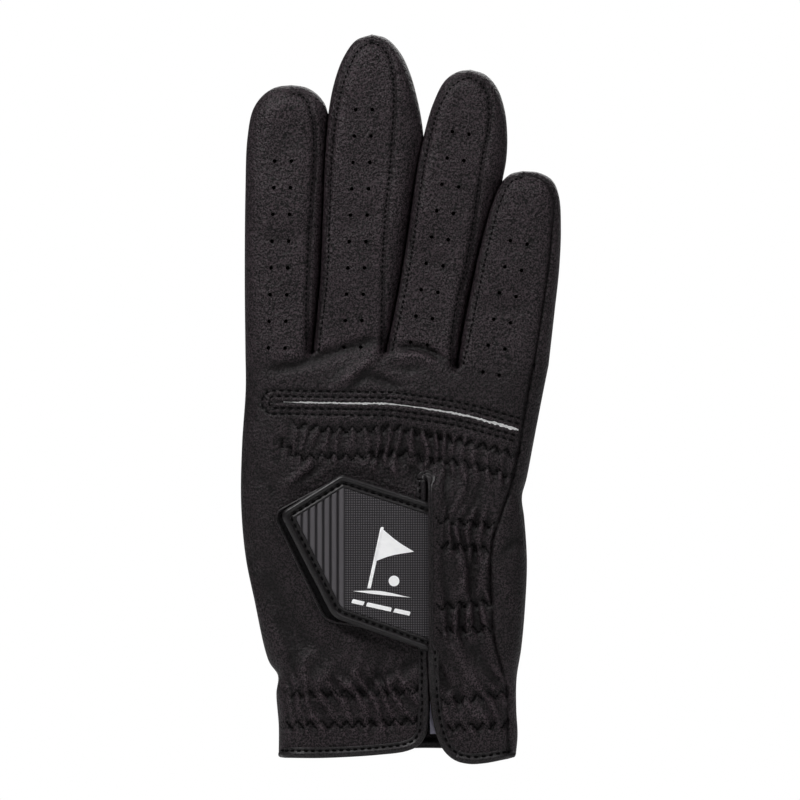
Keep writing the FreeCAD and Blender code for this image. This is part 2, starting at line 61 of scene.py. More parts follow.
LEATHER_THICK = 0.7

# ---- levels and outlines of the glove, as (x, z) ----

ROOT_Z = 124.0
LITTLE_ROOT_Z = 120.0
HAND_LEFT = [(-35.2, 3.0), (-35.2, 12), (-35.9, 21.5), (-35.4, 26.8), (-38.2, 31.2), (-42.6, 50),
             (-45.2, 63), (-46.5, 79), (-46.2, 96), (-45.1, 113), (-45.2, ROOT_Z)]
HAND_RIGHT = [(45.8, LITTLE_ROOT_Z), (43.8, 110), (41.4, 97.5), (39.2, 86), (37.8, 80.4), (38.5, 74),
              (39.3, 61), (38.7, 47), (37.6, 35), (36.2, 26), (36.1, 17), (36.5, 9), (36.0, 3.2)]
LEFT_FOLD = [(-43.1, ROOT_Z), (-43, 113), (-44.1, 95), (-44.4, 79), (-43.1, 63.6), (-40.4, 50.5),
             (-36.2, 32.8), (-33.5, 26.6), (-33.8, 21), (-33.2, 12), (-33.2, 2.72)]
RIGHT_FOLD = [(43.6, LITTLE_ROOT_Z), (41.6, 110), (39.2, 97.5), (37, 86), (35.6, 80.4), (36.3, 74), (37, 61),
              (36.4, 47), (35.4, 35), (34.1, 26), (34, 17), (34.3, 9), (33.6, 2.45)]
BACK_SEAM = [(41.3, LITTLE_ROOT_Z), (39.7, 112), (38.1, 102), (36.4, 92), (34, 82.4), (31.2, 74), (29, 67.2),
             (28.3, 59), (28.5, 50), (29.4, 38.5), (31.4, 30), (33, 24), (33.5, 15), (33.6, 2.45)]
LEFT_FLAP = [(-33.2, 2.72), (-21.4, 2.7), (-5.6, 3.6), (2.9, 4.7), (6.4, 6.3), (8.4, 9.2), (9.2, 14),
             (9.4, 22), (9.3, 33), (9.0, 50), (8.8, 70), (8.7, 85.4)]
RIGHT_FLAP = [(9.8, 85.4), (9.9, 70), (10.0, 50), (10.1, 34), (10.4, 25), (11.3, 15.5), (12.7, 9.2),
              (14.7, 4.8), (17.8, 2.0), (21.8, 0.9), (26.5, 1.1), (33.6, 2.45)]
PALM_EDGE = [(-33.2, 2.72), (-20, 4.2), (0, 5.4), (10, 5.7), (20, 5.2), (33.6, 2.45)]
SLOT = [(-33.6, 108.9), (-24, 108.7), (-12, 108.5), (-2, 108.3), (7, 107.2), (19.7, 105.1), (29, 102.7),
        (36.7, 100.5)]
RING_ROOT_SEAM = [(17.0, ROOT_Z), (17.2, 122), (18.1, 119.4)]

# each finger: its silhouette up to the tip and down to where it meets the next finger, then
# the seams beside them
FINGERS = {
    "index": {
        "up": [(-45.2, ROOT_Z), (-45.4, 145), (-45.2, 172), (-44.6, 188), (-42.9, 196.6), (-39.9, 200.9),
               (-36.1, 203.3), (-31.4, 204.0)],
        "down": [(-31.4, 204.0), (-27.0, 203.3), (-23.6, 201.2), (-21.4, 198.4), (-20.3, 195.2)],
        "seam_up": [(-43.1, ROOT_Z), (-43.2, 145), (-42.8, 172), (-42.1, 187), (-40.6, 194.4), (-37.6, 199),
                    (-34.6, 201.4), (-31.5, 202.2)],
        "seam_down": [(-31.5, 202.2), (-28.2, 201.8), (-26.1, 199.6), (-24.7, 195.4), (-23.9, 190),
                      (-23.9, 180), (-24.8, 168), (-25.6, 152), (-26.1, 138), (-26.1, ROOT_Z)],
        "base": ROOT_Z, "next": "middle", "plain": ("seam_up",), "body": "index_finger",
        "vents": ((-36.4, 181.2), (-38.3, 125.1), 8), "vent_turn": 0.0,
        "walls": ("index_side_fold", "index_fourchette"),
    },
    "middle": {
        "up": [(-25.0, ROOT_Z), (-22.9, 145), (-22.1, 163), (-21.4, 182), (-20.5, 194), (-18.6, 204.5),
               (-15.7, 212.4), (-12.0, 217.4), (-7.2, 219.2)],
        "down": [(-7.2, 219.2), (-2.9, 218.0), (1.2, 213.8), (4.2, 207.6), (6.6, 199), (7.9, 192),
                 (8.3, 188)],
        "seam_up": [(-24.2, ROOT_Z), (-21.7, 145), (-20.9, 163), (-20.1, 182), (-19.0, 193), (-17.2, 202.6),
                    (-14.4, 210.6), (-11.1, 215.9), (-7.2, 217.7)],
        "seam_down": [(-7.2, 217.7), (-4.4, 216.6), (-2.0, 213.8), (-0.3, 208.6), (0.3, 202), (-0.1, 192),
                      (-0.8, 180), (-2.2, 166), (-3.1, 150), (-3.4, 137), (-3.6, ROOT_Z)],
        "base": ROOT_Z, "next": "ring", "plain": (), "body": "middle_finger",
        "vents": ((-12.1, 196.6), (-15.6, 125.4), 10), "vent_turn": 0.0,
        "walls": ("middle_fourchette_index_side", "middle_fourchette_ring_side"),
    },
    "ring": {
        "up": [(-3.1, ROOT_Z), (0.4, 141), (2.8, 155), (4.6, 168), (6.4, 180), (8.6, 190), (11.2, 198.6),
               (14.7, 205.3), (18.6, 208), (22.4, 208.6)],
        "down": [(22.4, 208.6), (26.7, 207.2), (30.3, 203.2), (32.6, 196.5), (33.4, 189), (33.1, 181.6),
                 (32, 175.6)],
        "seam_up": [(-2.2, ROOT_Z), (1.6, 141), (4.0, 155), (5.8, 168), (7.7, 180.5), (9.9, 190.4),
                    (12.4, 198), (15.8, 203.8), (19.2, 206.3), (22.2, 207.1)],
        "seam_down": [(22.2, 207.1), (25, 205.8), (27.5, 202.8), (28.8, 197), (28.4, 191), (26.8, 182),
                      (25.2, 171), (23.8, 161), (21.8, 149.6), (19.4, 140), (18.0, 132), (17.0, ROOT_Z)],
        "base": ROOT_Z, "next": "little", "plain": (), "body": "ring_finger",
        "vents": ((16.9, 190.0), (4.4, 126.8), 9), "vent_turn": -0.8,
        "walls": ("ring_fourchette_middle_side", "ring_fourchette_little_side"),
    },
    "little": {
        "up": [(18.3, LITTLE_ROOT_Z), (20, 131), (22.6, 144), (25.7, 157.6), (28.6, 168), (31.2, 174.2),
               (34.4, 177.3), (38, 178.2)],
        "down": [(38, 178.2), (42.9, 177.7), (46.9, 175.4), (48.9, 170.6), (49.5, 161), (49.0, 149),
                 (47.6, 136), (45.8, LITTLE_ROOT_Z)],
        "seam_up": [(19.2, LITTLE_ROOT_Z), (21.6, 131), (24.2, 144), (27.2, 157.6), (29.9, 167.4),
                    (32.2, 173), (34.8, 176.2), (38, 177.2)],
        "seam_down": [(38, 177.2), (42.4, 176.4), (45.6, 174.2), (47.4, 169.6), (46.9, 161), (45.6, 148),
                      (44, 137), (42.6, 127.5), (41.3, LITTLE_ROOT_Z)],
        "fold_down": [(38, 177.2), (42, 175.8), (44.9, 173.2), (46.4, 169.2), (46.9, 160.5), (46.5, 149),
                      (45.4, 136), (43.6, LITTLE_ROOT_Z)],
        "base": LITTLE_ROOT_Z, "plain": ("seam_down",), "body": "little_finger",
        "vents": ((34.3, 157.3), (27.7, 125.9), 5), "vent_turn": -1.1,
        "walls": ("little_fourchette", "little_side_fold"),
    },
}

# ---- flat curves ----


def resample(line, step):
    """The same line with nearly even steps and the same ends."""
    line = np.asarray(line, float)
    lengths = np.hypot(*np.diff(line, axis=0).T)
    along = np.concatenate([[0], np.cumsum(lengths)])
    count = max(1, int(round(along[-1] / step)))
    marks = np.linspace(0, along[-1], count + 1)
    return np.stack([np.interp(marks, along, line[:, 0]), np.interp(marks, along, line[:, 1])], 1)


def spline(points, step=0.7):
    """A smooth curve through the points: a centripetal Catmull-Rom spline."""
    given = np.asarray(points, float)
    given = np.vstack([2 * given[0] - given[1], given, 2 * given[-1] - given[-2]])
    parts = []
    for first in range(len(given) - 3):
        p0, p1, p2, p3 = given[first:first + 4]
        t1 = math.sqrt(math.dist(p0, p1))
        t2 = t1 + math.sqrt(math.dist(p1, p2))
        t3 = t2 + math.sqrt(math.dist(p2, p3))
        t = np.linspace(t1, t2, 24, endpoint=False)[:, None]
        a1 = (t1 - t) / t1 * p0 + t / t1 * p1
        a2 = (t2 - t) / (t2 - t1) * p1 + (t - t1) / (t2 - t1) * p2
        a3 = (t3 - t) / (t3 - t2) * p2 + (t - t2) / (t3 - t2) * p3
        b1 = (t2 - t) / t2 * a1 + t / t2 * a2
        b2 = (t3 - t) / (t3 - t1) * a2 + (t - t1) / (t3 - t1) * a3
        parts.append((t2 - t) / (t2 - t1) * b1 + (t - t1) / (t2 - t1) * b2)
    parts.append(given[-2:-1])
    return resample(np.vstack(parts), step)


def shifted(line, amount):
    """The line moved sideways, to the left of its travel."""
    line = np.asarray(line, float)
    along = np.gradient(line, axis=0)
    along /= np.maximum(np.hypot(*along.T), 1e-9)[:, None]
    return line + np.stack([-along[:, 1], along[:, 0]], 1) * np.reshape(amount, (-1, 1))


def chain(*lines):
    """Lines joined end to start into one closed loop, without doubled points."""
    points = np.vstack([np.asarray(line, float) for line in lines])
    following = np.roll(points, -1, axis=0)
    return points[np.hypot(*(points - following).T) > 1e-4]


def arc(centre, radius, start, end, count=10):
    """Points on a circle between two angles in degrees."""
    turns = np.radians(np.linspace(start, end, count))
    return np.stack([centre[0] + radius * np.cos(turns), centre[1] + radius * np.sin(turns)], 1)


def rounded(corners, radii, step=0.6):
    """A line through corners whose inner ones are arcs of the given radii."""
    corners = [np.asarray(corner, float) for corner in corners]
    points = [corners[0]]
    for corner, radius, last, coming in zip(corners[1:-1], radii, corners, corners[2:]):
        before = (last - corner) / np.linalg.norm(last - corner)
        after = (coming - corner) / np.linalg.norm(coming - corner)
        half = math.acos(float(np.clip(before @ after, -1, 1))) / 2
        start, end = corner + before * radius / math.tan(half), corner + after * radius / math.tan(half)
        middle = corner + (before + after) / np.linalg.norm(before + after) * radius / math.sin(half)
        for share in np.linspace(0, 1, 9):
            towards = (start - middle) * (1 - share) + (end - middle) * share
            points.append(middle + towards / np.linalg.norm(towards) * radius)
    points.append(corners[-1])
    return resample(points, step)


def inset_chain(corners, amount):
    """An open chain of straight edges moved to the left of its travel, with its corners kept."""
    corners = [np.asarray(corner, float) for corner in corners]
    edges = []
    for start, end in zip(corners[:-1], corners[1:]):
        along = (end - start) / np.linalg.norm(end - start)
        edges.append((start + np.array([-along[1], along[0]]) * amount, along))
    moved = []
    for (a, u), (b, v) in zip(edges[:-1], edges[1:]):
        share = np.linalg.solve(np.stack([u, -v], 1), b - a)[0]
        moved.append(a + u * share)
    ends = [point + along * (corner[0] - point[0]) / along[0]
            for (point, along), corner in ((edges[0], corners[0]), (edges[-1], corners[-1]))]
    return [ends[0]] + moved + [ends[1]]


def ease(value):
    """0 below 0, 1 above 1 and smooth between."""
    value = np.clip(value, 0, 1)
    return value * value * (3 - 2 * value)


# ---- maps: values on a fine grid over the glove ----

CELL = 0.25
MAP_X = np.arange(-53, 54, CELL)
MAP_Z = np.arange(-4, 223, CELL)
GRID_X, GRID_Z = np.meshgrid(MAP_X, MAP_Z)


def window(low, high, reach, first, count):
    """The range of grid lines within reach of an interval."""
    start = max(int((low - reach - first) / CELL), 0)
    return start, min(int((high + reach - first) / CELL) + 2, count)


def distance_map(line, reach):
    """The distance of every grid point to a line, up to reach."""
    best = np.full(GRID_X.shape, float(reach))
    for (ax, az), (bx, bz) in zip(line[:-1], line[1:]):
        i0, i1 = window(min(ax, bx), max(ax, bx), reach, MAP_X[0], len(MAP_X))
        j0, j1 = window(min(az, bz), max(az, bz), reach, MAP_Z[0], len(MAP_Z))
        if i1 <= i0 or j1 <= j0:
            continue
        dx, dz = bx - ax, bz - az
        px, pz = MAP_X[None, i0:i1] - ax, MAP_Z[j0:j1, None] - az
        t = np.clip((px * dx + pz * dz) / max(dx * dx + dz * dz, 1e-12), 0, 1)
        found = np.hypot(px - t * dx, pz - t * dz)
        part = best[j0:j1, i0:i1]
        np.minimum(part, found, out=part)
    return best


def read_map(values, x, z):
    """The value of a map between its grid points."""
    u = np.clip((np.asarray(x) - MAP_X[0]) / CELL, 0, len(MAP_X) - 1.001)
    v = np.clip((np.asarray(z) - MAP_Z[0]) / CELL, 0, len(MAP_Z) - 1.001)
    i, j = u.astype(int), v.astype(int)
    u, v = u - i, v - j
    low = values[j, i] * (1 - u) + values[j, i + 1] * u
    high = values[j + 1, i] * (1 - u) + values[j + 1, i + 1] * u
    return low * (1 - v) + high * v


def exact_distance(x, z, lines):
    """The distance of points to the nearest of some lines."""
    best = np.full(len(x), 1e9)
    for line in lines:
        a, b = line[:-1], line[1:]
        d = b - a
        square = (d ** 2).sum(1)
        for start in range(0, len(x), 1500):
            px = x[start:start + 1500, None] - a[None, :, 0]
            pz = z[start:start + 1500, None] - a[None, :, 1]
            t = np.clip((px * d[:, 0] + pz * d[:, 1]) / square, 0, 1)
            found = np.hypot(px - t * d[:, 0], pz - t * d[:, 1]).min(1)
            best[start:start + 1500] = np.minimum(best[start:start + 1500], found)
    return best


def noise_map(scale, seed, stretch=1.0):
    """Smooth random values from -1 to 1; scale is the size of a blot, stretch its height to width."""
    columns = int(np.ptp(MAP_X) / scale) + 4
    rows = int(np.ptp(MAP_Z) / (scale * stretch)) + 4
    lattice = np.random.default_rng(seed).uniform(-1, 1, (rows, columns))
    u = (GRID_X - MAP_X[0]) / scale
    v = (GRID_Z - MAP_Z[0]) / (scale * stretch)
    i, j = u.astype(int), v.astype(int)
    u, v = ease(u - i), ease(v - j)
    low = lattice[j, i] * (1 - u) + lattice[j, i + 1] * u
    high = lattice[j + 1, i] * (1 - u) + lattice[j + 1, i + 1] * u
    return low * (1 - v) + high * v


# ---- the surface of the glove ----


def edge_line(finger, side):
    """A finger's silhouette; the lower right part is the next finger's left silhouette."""
    shape = FINGERS[finger]
    own = spline(shape[side])
    if side == "up" or "next" not in shape:
        return own
    shared = edge_line(shape["next"], "up")
    root = (np.interp(shape["base"], shared[:, 1], shared[:, 0]), shape["base"])
    shared = shared[(shared[:, 1] < own[-1, 1] - 0.3) & (shared[:, 1] > shape["base"] + 0.1)]
    return np.vstack([own, shared[::-1], root])


FINGER_HALF, HAND_HALF = 6.5, 8.0
OUTER_LINES = [spline(HAND_LEFT), spline(HAND_RIGHT), spline(FINGERS["index"]["up"]),
               spline(FINGERS["little"]["down"])]
GAP_LINES = [edge_line(finger, side) for finger, side in (
    ("index", "down"), ("middle", "up"), ("middle", "down"), ("ring", "up"), ("ring", "down"),
    ("little", "up"))]
LITTLE_UP = edge_line("little", "up")
CROTCH_LINE = np.vstack([edge_line("ring", "down")[-1:], LITTLE_UP[LITTLE_UP[:, 1] < ROOT_Z - 0.1][::-1]])
EDGE_REACH = 12.0


def nearest_map(lines):
    """The distance to the nearest of some lines, as a map."""
    best = distance_map(lines[0], EDGE_REACH)
    for line in lines[1:]:
        best = np.minimum(best, distance_map(line, EDGE_REACH))
    return best


OUTER_MAP, GAP_MAP = nearest_map(OUTER_LINES), nearest_map(GAP_LINES)
EXACT_WITHIN = 2.5


def edge_distances(x, z):
    """The distances to the outer silhouette and to the gaps between the fingers."""
    outer, gap = read_map(OUTER_MAP, x, z), read_map(GAP_MAP, x, z)
    for values, lines in ((outer, OUTER_LINES), (gap, GAP_LINES)):
        close = values < EXACT_WITHIN
        if close.any():
            values[close] = exact_distance(x[close], z[close], lines)
    return outer, gap


def cap(distance, reach):
    """The rise of a rounded edge: 0 at the edge and 1 from reach on."""
    t = np.clip(distance / reach, 0, 1)
    return np.sqrt(np.clip(1 - (1 - t) ** 2, 0, 1))


# the elastic rows: each band has an upper and a lower row of zigzag stitches
KNUCKLE_TOP = [(-31, 102.2), (-21.4, 100.8), (-8.8, 100.8), (0.7, 101.2), (7, 99.8), (11.4, 99), (19.7, 97),
               (29.1, 95), (36.4, 92.8)]
KNUCKLE_LOW = [(-34.8, 97.2), (-32, 94.6), (-28.9, 92.4), (-21.4, 92.9), (-13.8, 92.5), (-5.6, 93.2),
               (2.6, 93.6), (9.6, 91.4), (16.5, 91.2), (22.8, 90), (34.4, 86.6)]
BANDS = {
    "knuckle": {"top": KNUCKLE_TOP, "low": KNUCKLE_LOW, "pitch": 3.5, "lean": -0.12, "fade": (2.5, 7.0),
                "rise": 1.5},
    "flap_upper": {"top": [(11.8, 73.4), (20, 73.0), (29.6, 71.9)],
                   "low": [(12, 66.2), (20, 65.4), (28, 64.6)],
                   "pitch": 3.2, "lean": -0.15, "fade": (9.0, 6.0), "rise": 1.9},
    "flap_lower": {"top": [(12, 47.4), (20, 48.2), (27.8, 48.8)],
                   "low": [(12, 40.4), (20, 40.6), (28.4, 41)],
                   "pitch": 3.2, "lean": 0.15, "fade": (7.0, 8.0), "rise": 1.9},
    "cuff_left": {"top": [(-33.4, 21.2), (-13.8, 21.6), (7.0, 22.4)],
                  "low": [(-33, 12.0), (-13.8, 12.2), (7, 13.4)],
                  "pitch": 4.3, "lean": 0.5, "fade": (10.0, 6.0), "rise": 1.6},
    "cuff_right": {"top": [(13.8, 18.8), (24, 20.2), (33.2, 21.4)],
                   "low": [(15.4, 11.2), (25, 11.6), (33.4, 12.2)],
                   "pitch": 4.3, "lean": 0.45, "fade": (11.0, 6.0), "rise": 1.6},
}

# folds of the leather: line, height (a groove is below 0) and width
FOLD_GAIN = 1.5
FOLDS = [
    ([(-38.5, 118.4), (-30, 120), (-20, 123.2), (-10, 126.4), (-4.4, 127.6)], -1.1, 1.9),
    ([(-36, 122.6), (-26.8, 121.2)], 0.3, 2.0),
    ([(-18.3, 113.2), (-12, 118.4), (-5.4, 123.4)], 1.0, 1.7),
    ([(-13.5, 113), (-7.5, 118.6)], -0.5, 1.2),
    ([(-0.6, 125), (7, 125.0), (12, 123), (15.4, 120.4)], -1.0, 1.3),
    ([(-1, 121.8), (4, 123), (9, 122.2), (13, 118.6)], 0.55, 1.5),
    ([(-0.6, 119.8), (3.5, 118.6), (8, 118.8)], -0.6, 1.3),
    ([(-9.4, 117.2), (-3, 114.8), (2.4, 112.6)], -0.8, 1.4),
    ([(-8, 120), (-4, 117.6)], 0.4, 1.4),
    ([(-40.5, 60), (-33, 45), (-24, 32)], -1.1, 4.2),
    ([(-44, 88), (-38, 84), (-36, 78)], -0.5, 3.0),
    ([(6.4, 32), (0, 28.2), (-8, 24.2)], -0.7, 1.7),
    ([(8.2, 30), (4.8, 26), (1.5, 22.6)], 0.45, 1.4),
    ([(-14, 36), (-21, 27), (-24, 22)], 0.5, 2.6),
    ([(-24, 38), (-28, 29), (-29, 23)], 0.5, 2.2),
    ([(11.4, 33), (14.4, 25.4), (19, 19.4)], -0.9, 1.6),
    ([(16, 38.4), (21, 28.4), (25.6, 21)], 0.7, 1.9),
    ([(21.6, 38.4), (26.4, 30), (31, 22.6)], -0.7, 1.8),
    ([(-24.5, 92), (-28.6, 87.4), (-34.6, 83)], 0.6, 1.2),
    ([(-20.4, 92), (-24.4, 88), (-30, 84.6)], -0.5, 1.1),
    ([(-8, 92.4), (-6.6, 88.4), (-6.4, 85.4)], 0.5, 1.0),
    ([(-3.4, 93), (-0.6, 88), (0.6, 84.4)], 0.6, 0.9),
    ([(1.6, 93), (5, 88.4), (7.4, 83.4)], -0.6, 1.1),
    ([(21, 90.4), (20.4, 84), (18.6, 77)], 0.5, 1.1),
    ([(27.4, 88), (25, 82), (23.6, 75)], -0.5, 1.3),
    ([(31, 62), (34.4, 66), (38, 70)], -0.6, 1.6),
    ([(18, 65), (20.6, 57), (19, 48)], 0.7, 1.1),
    ([(24, 65), (22.6, 56), (25, 47)], -0.7, 1.2),
    ([(27, 63), (25.8, 55), (22.6, 49)], 0.5, 1.0),
    ([(14.6, 65), (14, 57), (15.6, 48)], -0.6, 1.2),
    ([(16, 91), (15, 83), (15.8, 74)], -0.6, 1.1),
    ([(31.4, 58), (34, 50), (37, 44)], 0.4, 1.8),
    ([(-37, 46), (-31.6, 35), (-30.4, 24)], -0.6, 1.8),
    ([(-10, 35), (-12, 28), (-15.6, 21)], 0.6, 1.3),
    ([(-4, 34), (-5.4, 28), (-9.6, 21)], -0.6, 1.3),
    ([(2, 33), (0.4, 28), (-3.4, 22)], 0.5, 1.2),
    ([(-17, 38), (-17.6, 30), (-19.4, 22)], -0.5, 1.6),
    ([(-41.6, 160), (-33, 158), (-26, 161)], -0.25, 2.6),
    ([(-18.5, 160), (-10, 163.4), (-4, 168)], -0.3, 2.8),
    ([(7, 152), (14, 150), (20, 146)], -0.3, 2.6),
    ([(24, 139), (33, 136.4), (43, 137.6)], -0.3, 2.8),
]


def pucker_map(band):
    """The gathers of one elastic band, between its two rows and fading out beside them."""
    top, low = np.array(band["top"]), np.array(band["low"])
    upper = np.interp(GRID_X, top[:, 0], top[:, 1])
    lower = np.interp(GRID_X, low[:, 0], low[:, 1])
    above, below = band["fade"]
    level = 1 - ease((GRID_Z - upper) / above) - ease((lower - GRID_Z) / below)
    ends = ease((GRID_X - low[0, 0] + 1.5) / 3) * ease((low[-1, 0] + 1.5 - GRID_X) / 3)
    wander = 2.4 * noise_map(9, 11, 1.2) + 0.7 * noise_map(4, 12, 1.6)
    turn = 2 * math.pi * (GRID_X + band["lean"] * (GRID_Z - lower) + wander) / band["pitch"]
    ridge = 0.5 + 0.5 * np.cos(turn)
    strength = 0.68 + 0.5 * noise_map(6, 13)
    return band["rise"] * np.clip(level, 0, 1) * ends * strength * (ridge ** 1.5 - 0.45)


def zigzag(row, wave=3.6, swing=1.15):
    """The path of a zigzag seam about a row."""
    line = resample(spline(row), wave / 2)
    side = np.where(np.arange(len(line)) % 2 == 0, swing, -swing)
    return shifted(line, side)


# grooves along seams and stitch rows: depth and width
GROOVES = {
    "zigzag": (0.6, 0.5), "elastic": (0.25, 1.6), "slot_row": (0.45, 0.45), "back_seam": (1.0, 0.5),
    "ring_root": (0.7, 0.4), "finger_seam": (0.55, 0.38), "little_seam": (0.9, 0.45),
    "palm_zigzag": (0.45, 0.55), "palm_seam": (0.5, 0.4),
}


def add_groove(detail, line, kind):
    """A narrow groove along a line."""
    depth, width = GROOVES[kind]
    near = distance_map(line, width * 3.2)
    detail -= depth * np.exp(-(near / width) ** 2)


# each stitch row round the knuckle slot: its distance from the slot and where its round end starts
SLOT_ROW_PLACES = ((1.75, -36.4), (3.5, -36.8))
SLOT_LIPS_START = (-37.6, SLOT[0][1])


def slot_rows():
    """The stitch rows round the knuckle slot, inner and outer, with a round end at the left."""
    line = spline(SLOT)
    rows = []
    for reach, start in SLOT_ROW_PLACES:
        middle = np.vstack([[start, SLOT[0][1]], line])
        middle = resample(middle, 0.7)
        end = arc((start, SLOT[0][1]), reach, 90, 270, 12)
        rows.append(np.vstack([shifted(middle, reach)[::-1], end[1:-1], shifted(middle, -reach)]))
    return rows


SLOT_ROWS = slot_rows()
STITCH_INSET = 0.95


def seam_row(finger, side):
    """The stitch line beside a finger's seam."""
    return shifted(spline(FINGERS[finger][side]), -STITCH_INSET)


def back_detail():
    """Waves, folds, gathers, seam grooves and stitch channels of the back."""
    detail = 0.75 * noise_map(19, 1) + 0.22 * noise_map(8, 2) + 0.06 * noise_map(3, 3)
    for points, rise, wide in FOLDS:
        line = spline(points)
        near = distance_map(line, wide * 3)
        ends = np.minimum(np.hypot(GRID_X - line[0, 0], GRID_Z - line[0, 1]),
                          np.hypot(GRID_X - line[-1, 0], GRID_Z - line[-1, 1]))
        detail += FOLD_GAIN * rise * np.exp(-(near / wide) ** 2) * (0.3 + 0.7 * ease(ends / 5))
    for band in BANDS.values():
        detail += pucker_map(band)
        for row in (band["top"], band["low"]):
            add_groove(detail, zigzag(row), "zigzag")
            add_groove(detail, spline(row), "elastic")
    for row in SLOT_ROWS:
        add_groove(detail, row, "slot_row")
    near = distance_map(np.vstack([SLOT_LIPS_START, spline(SLOT)]), 3)
    detail += 0.35 * np.exp(-((near - 0.9) / 0.5) ** 2)
    detail -= 0.5 * np.exp(-(near / 0.35) ** 2)
    add_groove(detail, spline(BACK_SEAM), "back_seam")
    add_groove(detail, spline(RING_ROOT_SEAM), "ring_root")
    for finger, shape in FINGERS.items():
        for side in ("seam_up", "seam_down"):
            if side in shape["plain"]:
                continue
            add_groove(detail, spline(shape[side]), "finger_seam")
            add_groove(detail, seam_row(finger, side), "finger_seam")
    add_groove(detail, spline(FINGERS["little"]["seam_down"]), "little_seam")
    return detail


TAB_CORNERS = [(10.9, 78.5), (-16.3, 87.2), (-34.9, 75.6), (-18.9, 44.2), (10.9, 33.7)]
TAB_EDGE = rounded(TAB_CORNERS, (3.0, 2.6, 7.0))
TAB_OUTLINE = chain(TAB_EDGE, resample([TAB_CORNERS[-1], TAB_CORNERS[0]], 0.6))


def inside(x, z, loop):
    """Which points lie inside a closed loop."""
    x, z = np.asarray(x, float), np.asarray(z, float)
    found = np.zeros(len(x), bool)
    after = np.roll(loop, -1, axis=0)
    for start in range(0, len(x), 4000):
        px, pz = x[start:start + 4000, None], z[start:start + 4000, None]
        crosses = (loop[None, :, 1] > pz) != (after[None, :, 1] > pz)
        rise = after[:, 1] - loop[:, 1]
        rise = np.where(np.abs(rise) < 1e-12, 1e-12, rise)
        where = loop[:, 0] + (pz - loop[:, 1]) * (after[:, 0] - loop[:, 0]) / rise
        found[start:start + 4000] = (crosses & (px < where)).sum(1) % 2 == 1
    return found


def calm_under_tab(detail):
    """Flatten the back where the tab and the loop pad lie on it."""
    loop = np.vstack([TAB_OUTLINE, TAB_OUTLINE[:1]])
    near = distance_map(loop, 6)
    below = inside(GRID_X.ravel(), GRID_Z.ravel(), TAB_OUTLINE).reshape(GRID_X.shape)
    calm = np.where(below, 1.0, 1 - ease((near - 1.0) / 4))
    return detail * (1 - calm) - 0.2 * calm


PALM_FOLDS = [
    ([(-40, 96), (-20, 92), (0, 94), (20, 101)], -0.8, 1.8),
    ([(-36, 112), (-18, 106), (2, 106), (28, 112)], -0.7, 1.6),
    ([(-4, 96), (-6, 78), (-2, 58), (4, 36)], -0.7, 2.2),
    ([(6, 90), (12, 70), (14, 48)], -0.4, 2.4),
    ([(-30, 30), (0, 27), (30, 29)], -0.4, 2.4),
]
PALM_ROWS = (22, 12)
PALM_CUFF = {"top": [(-33, 22), (33, 21.5)], "low": [(-33, 12), (33, 12)], "pitch": 3.4, "lean": 0.2,
             "fade": (7, 5), "rise": 0.6}


def palm_detail():
    """Waves, folds and gathers of the palm."""
    detail = 0.35 * noise_map(19, 21) + 0.16 * noise_map(9, 22) + 0.05 * noise_map(3, 23)
    for points, rise, wide in PALM_FOLDS:
        detail += rise * np.exp(-(distance_map(spline(points), wide * 3) / wide) ** 2)
    detail += pucker_map(PALM_CUFF)
    for row in (PALM_CUFF["top"], PALM_CUFF["low"]):
        add_groove(detail, zigzag(row), "palm_zigzag")
    for finger, shape in FINGERS.items():
        for side in ("seam_up", "seam_down"):
            if (finger, side) != ("index", "seam_up"):
                add_groove(detail, spline(shape[side]), "palm_seam")
    return detail


def blurred(values, reach):
    """A map averaged over a square that reaches so far each way."""
    cells = int(reach / CELL)
    for axis in (0, 1):
        padding = [(cells + 1, cells) if axis == k else (0, 0) for k in (0, 1)]
        sums = np.cumsum(np.pad(values, padding, mode="edge"), axis=axis)
        values = (np.roll(sums, -2 * cells - 1, axis) - sums) / (2 * cells + 1)
        values = values[:GRID_X.shape[0], :GRID_X.shape[1]]
    return values


DETAIL = {BACK: calm_under_tab(back_detail()), PALM: palm_detail()}
# painted shade and highlight: the relief is the small-scale height minus its blur; on the leather it darkens
# valleys and pales ridges
RELIEF_SHADING = {side: DETAIL[side] - blurred(blurred(DETAIL[side], 2.5), 2.5) for side in (BACK, PALM)}
# painted shade: the leather of the hand, between the cuff and the finger roots, is made darker than that of
# the fingers
RELIEF_SHADING[BACK] -= 0.34 * ease((126 - GRID_Z) / 12) * ease((GRID_Z - 20) / 14)
DETAIL_EDGE = 1.6
FLAP_LIFT = 2.9
SLIT_MIDDLE = [(0, 14.5), (9, 11.0), (15, 10.4), (33, 9.7), (60, 9.4), (90, 9.25)]


def flap_lift(x, z):
    """How far the little-finger flap rides up over the root of the tab."""
    middle = np.interp(z, *np.array(SLIT_MIDDLE).T)
    beside = np.clip((x - middle) / 15, 0, 1)
    along = ease((90 - z) / 9) * (0.25 + 0.75 * ease((z - 22) / 14))
    return np.where(x > middle, FLAP_LIFT * along * (1 - ease(beside)), 0)


FRONT_LINES = [edge_line(finger, "up") for finger in ("middle", "ring", "little")]


def gap_reach(x, z):
    """How wide a finger's edge is rounded: narrow at its left, as if it lay over its neighbour."""
    best, ahead = np.full(len(x), 1e9), np.zeros(len(x), bool)
    for line in FRONT_LINES:
        away = x - np.interp(z, line[:, 1], line[:, 0])
        nearer = np.abs(away) < best
        best = np.where(nearer, np.abs(away), best)
        ahead = np.where(nearer, away > 0, ahead)
    behind = 4.0 + 3.5 * ease((z - ROOT_Z) / 52)
    front = 2.0 + 3.4 * ease((z - 150) / 45)
    return np.where(ahead, front, behind)


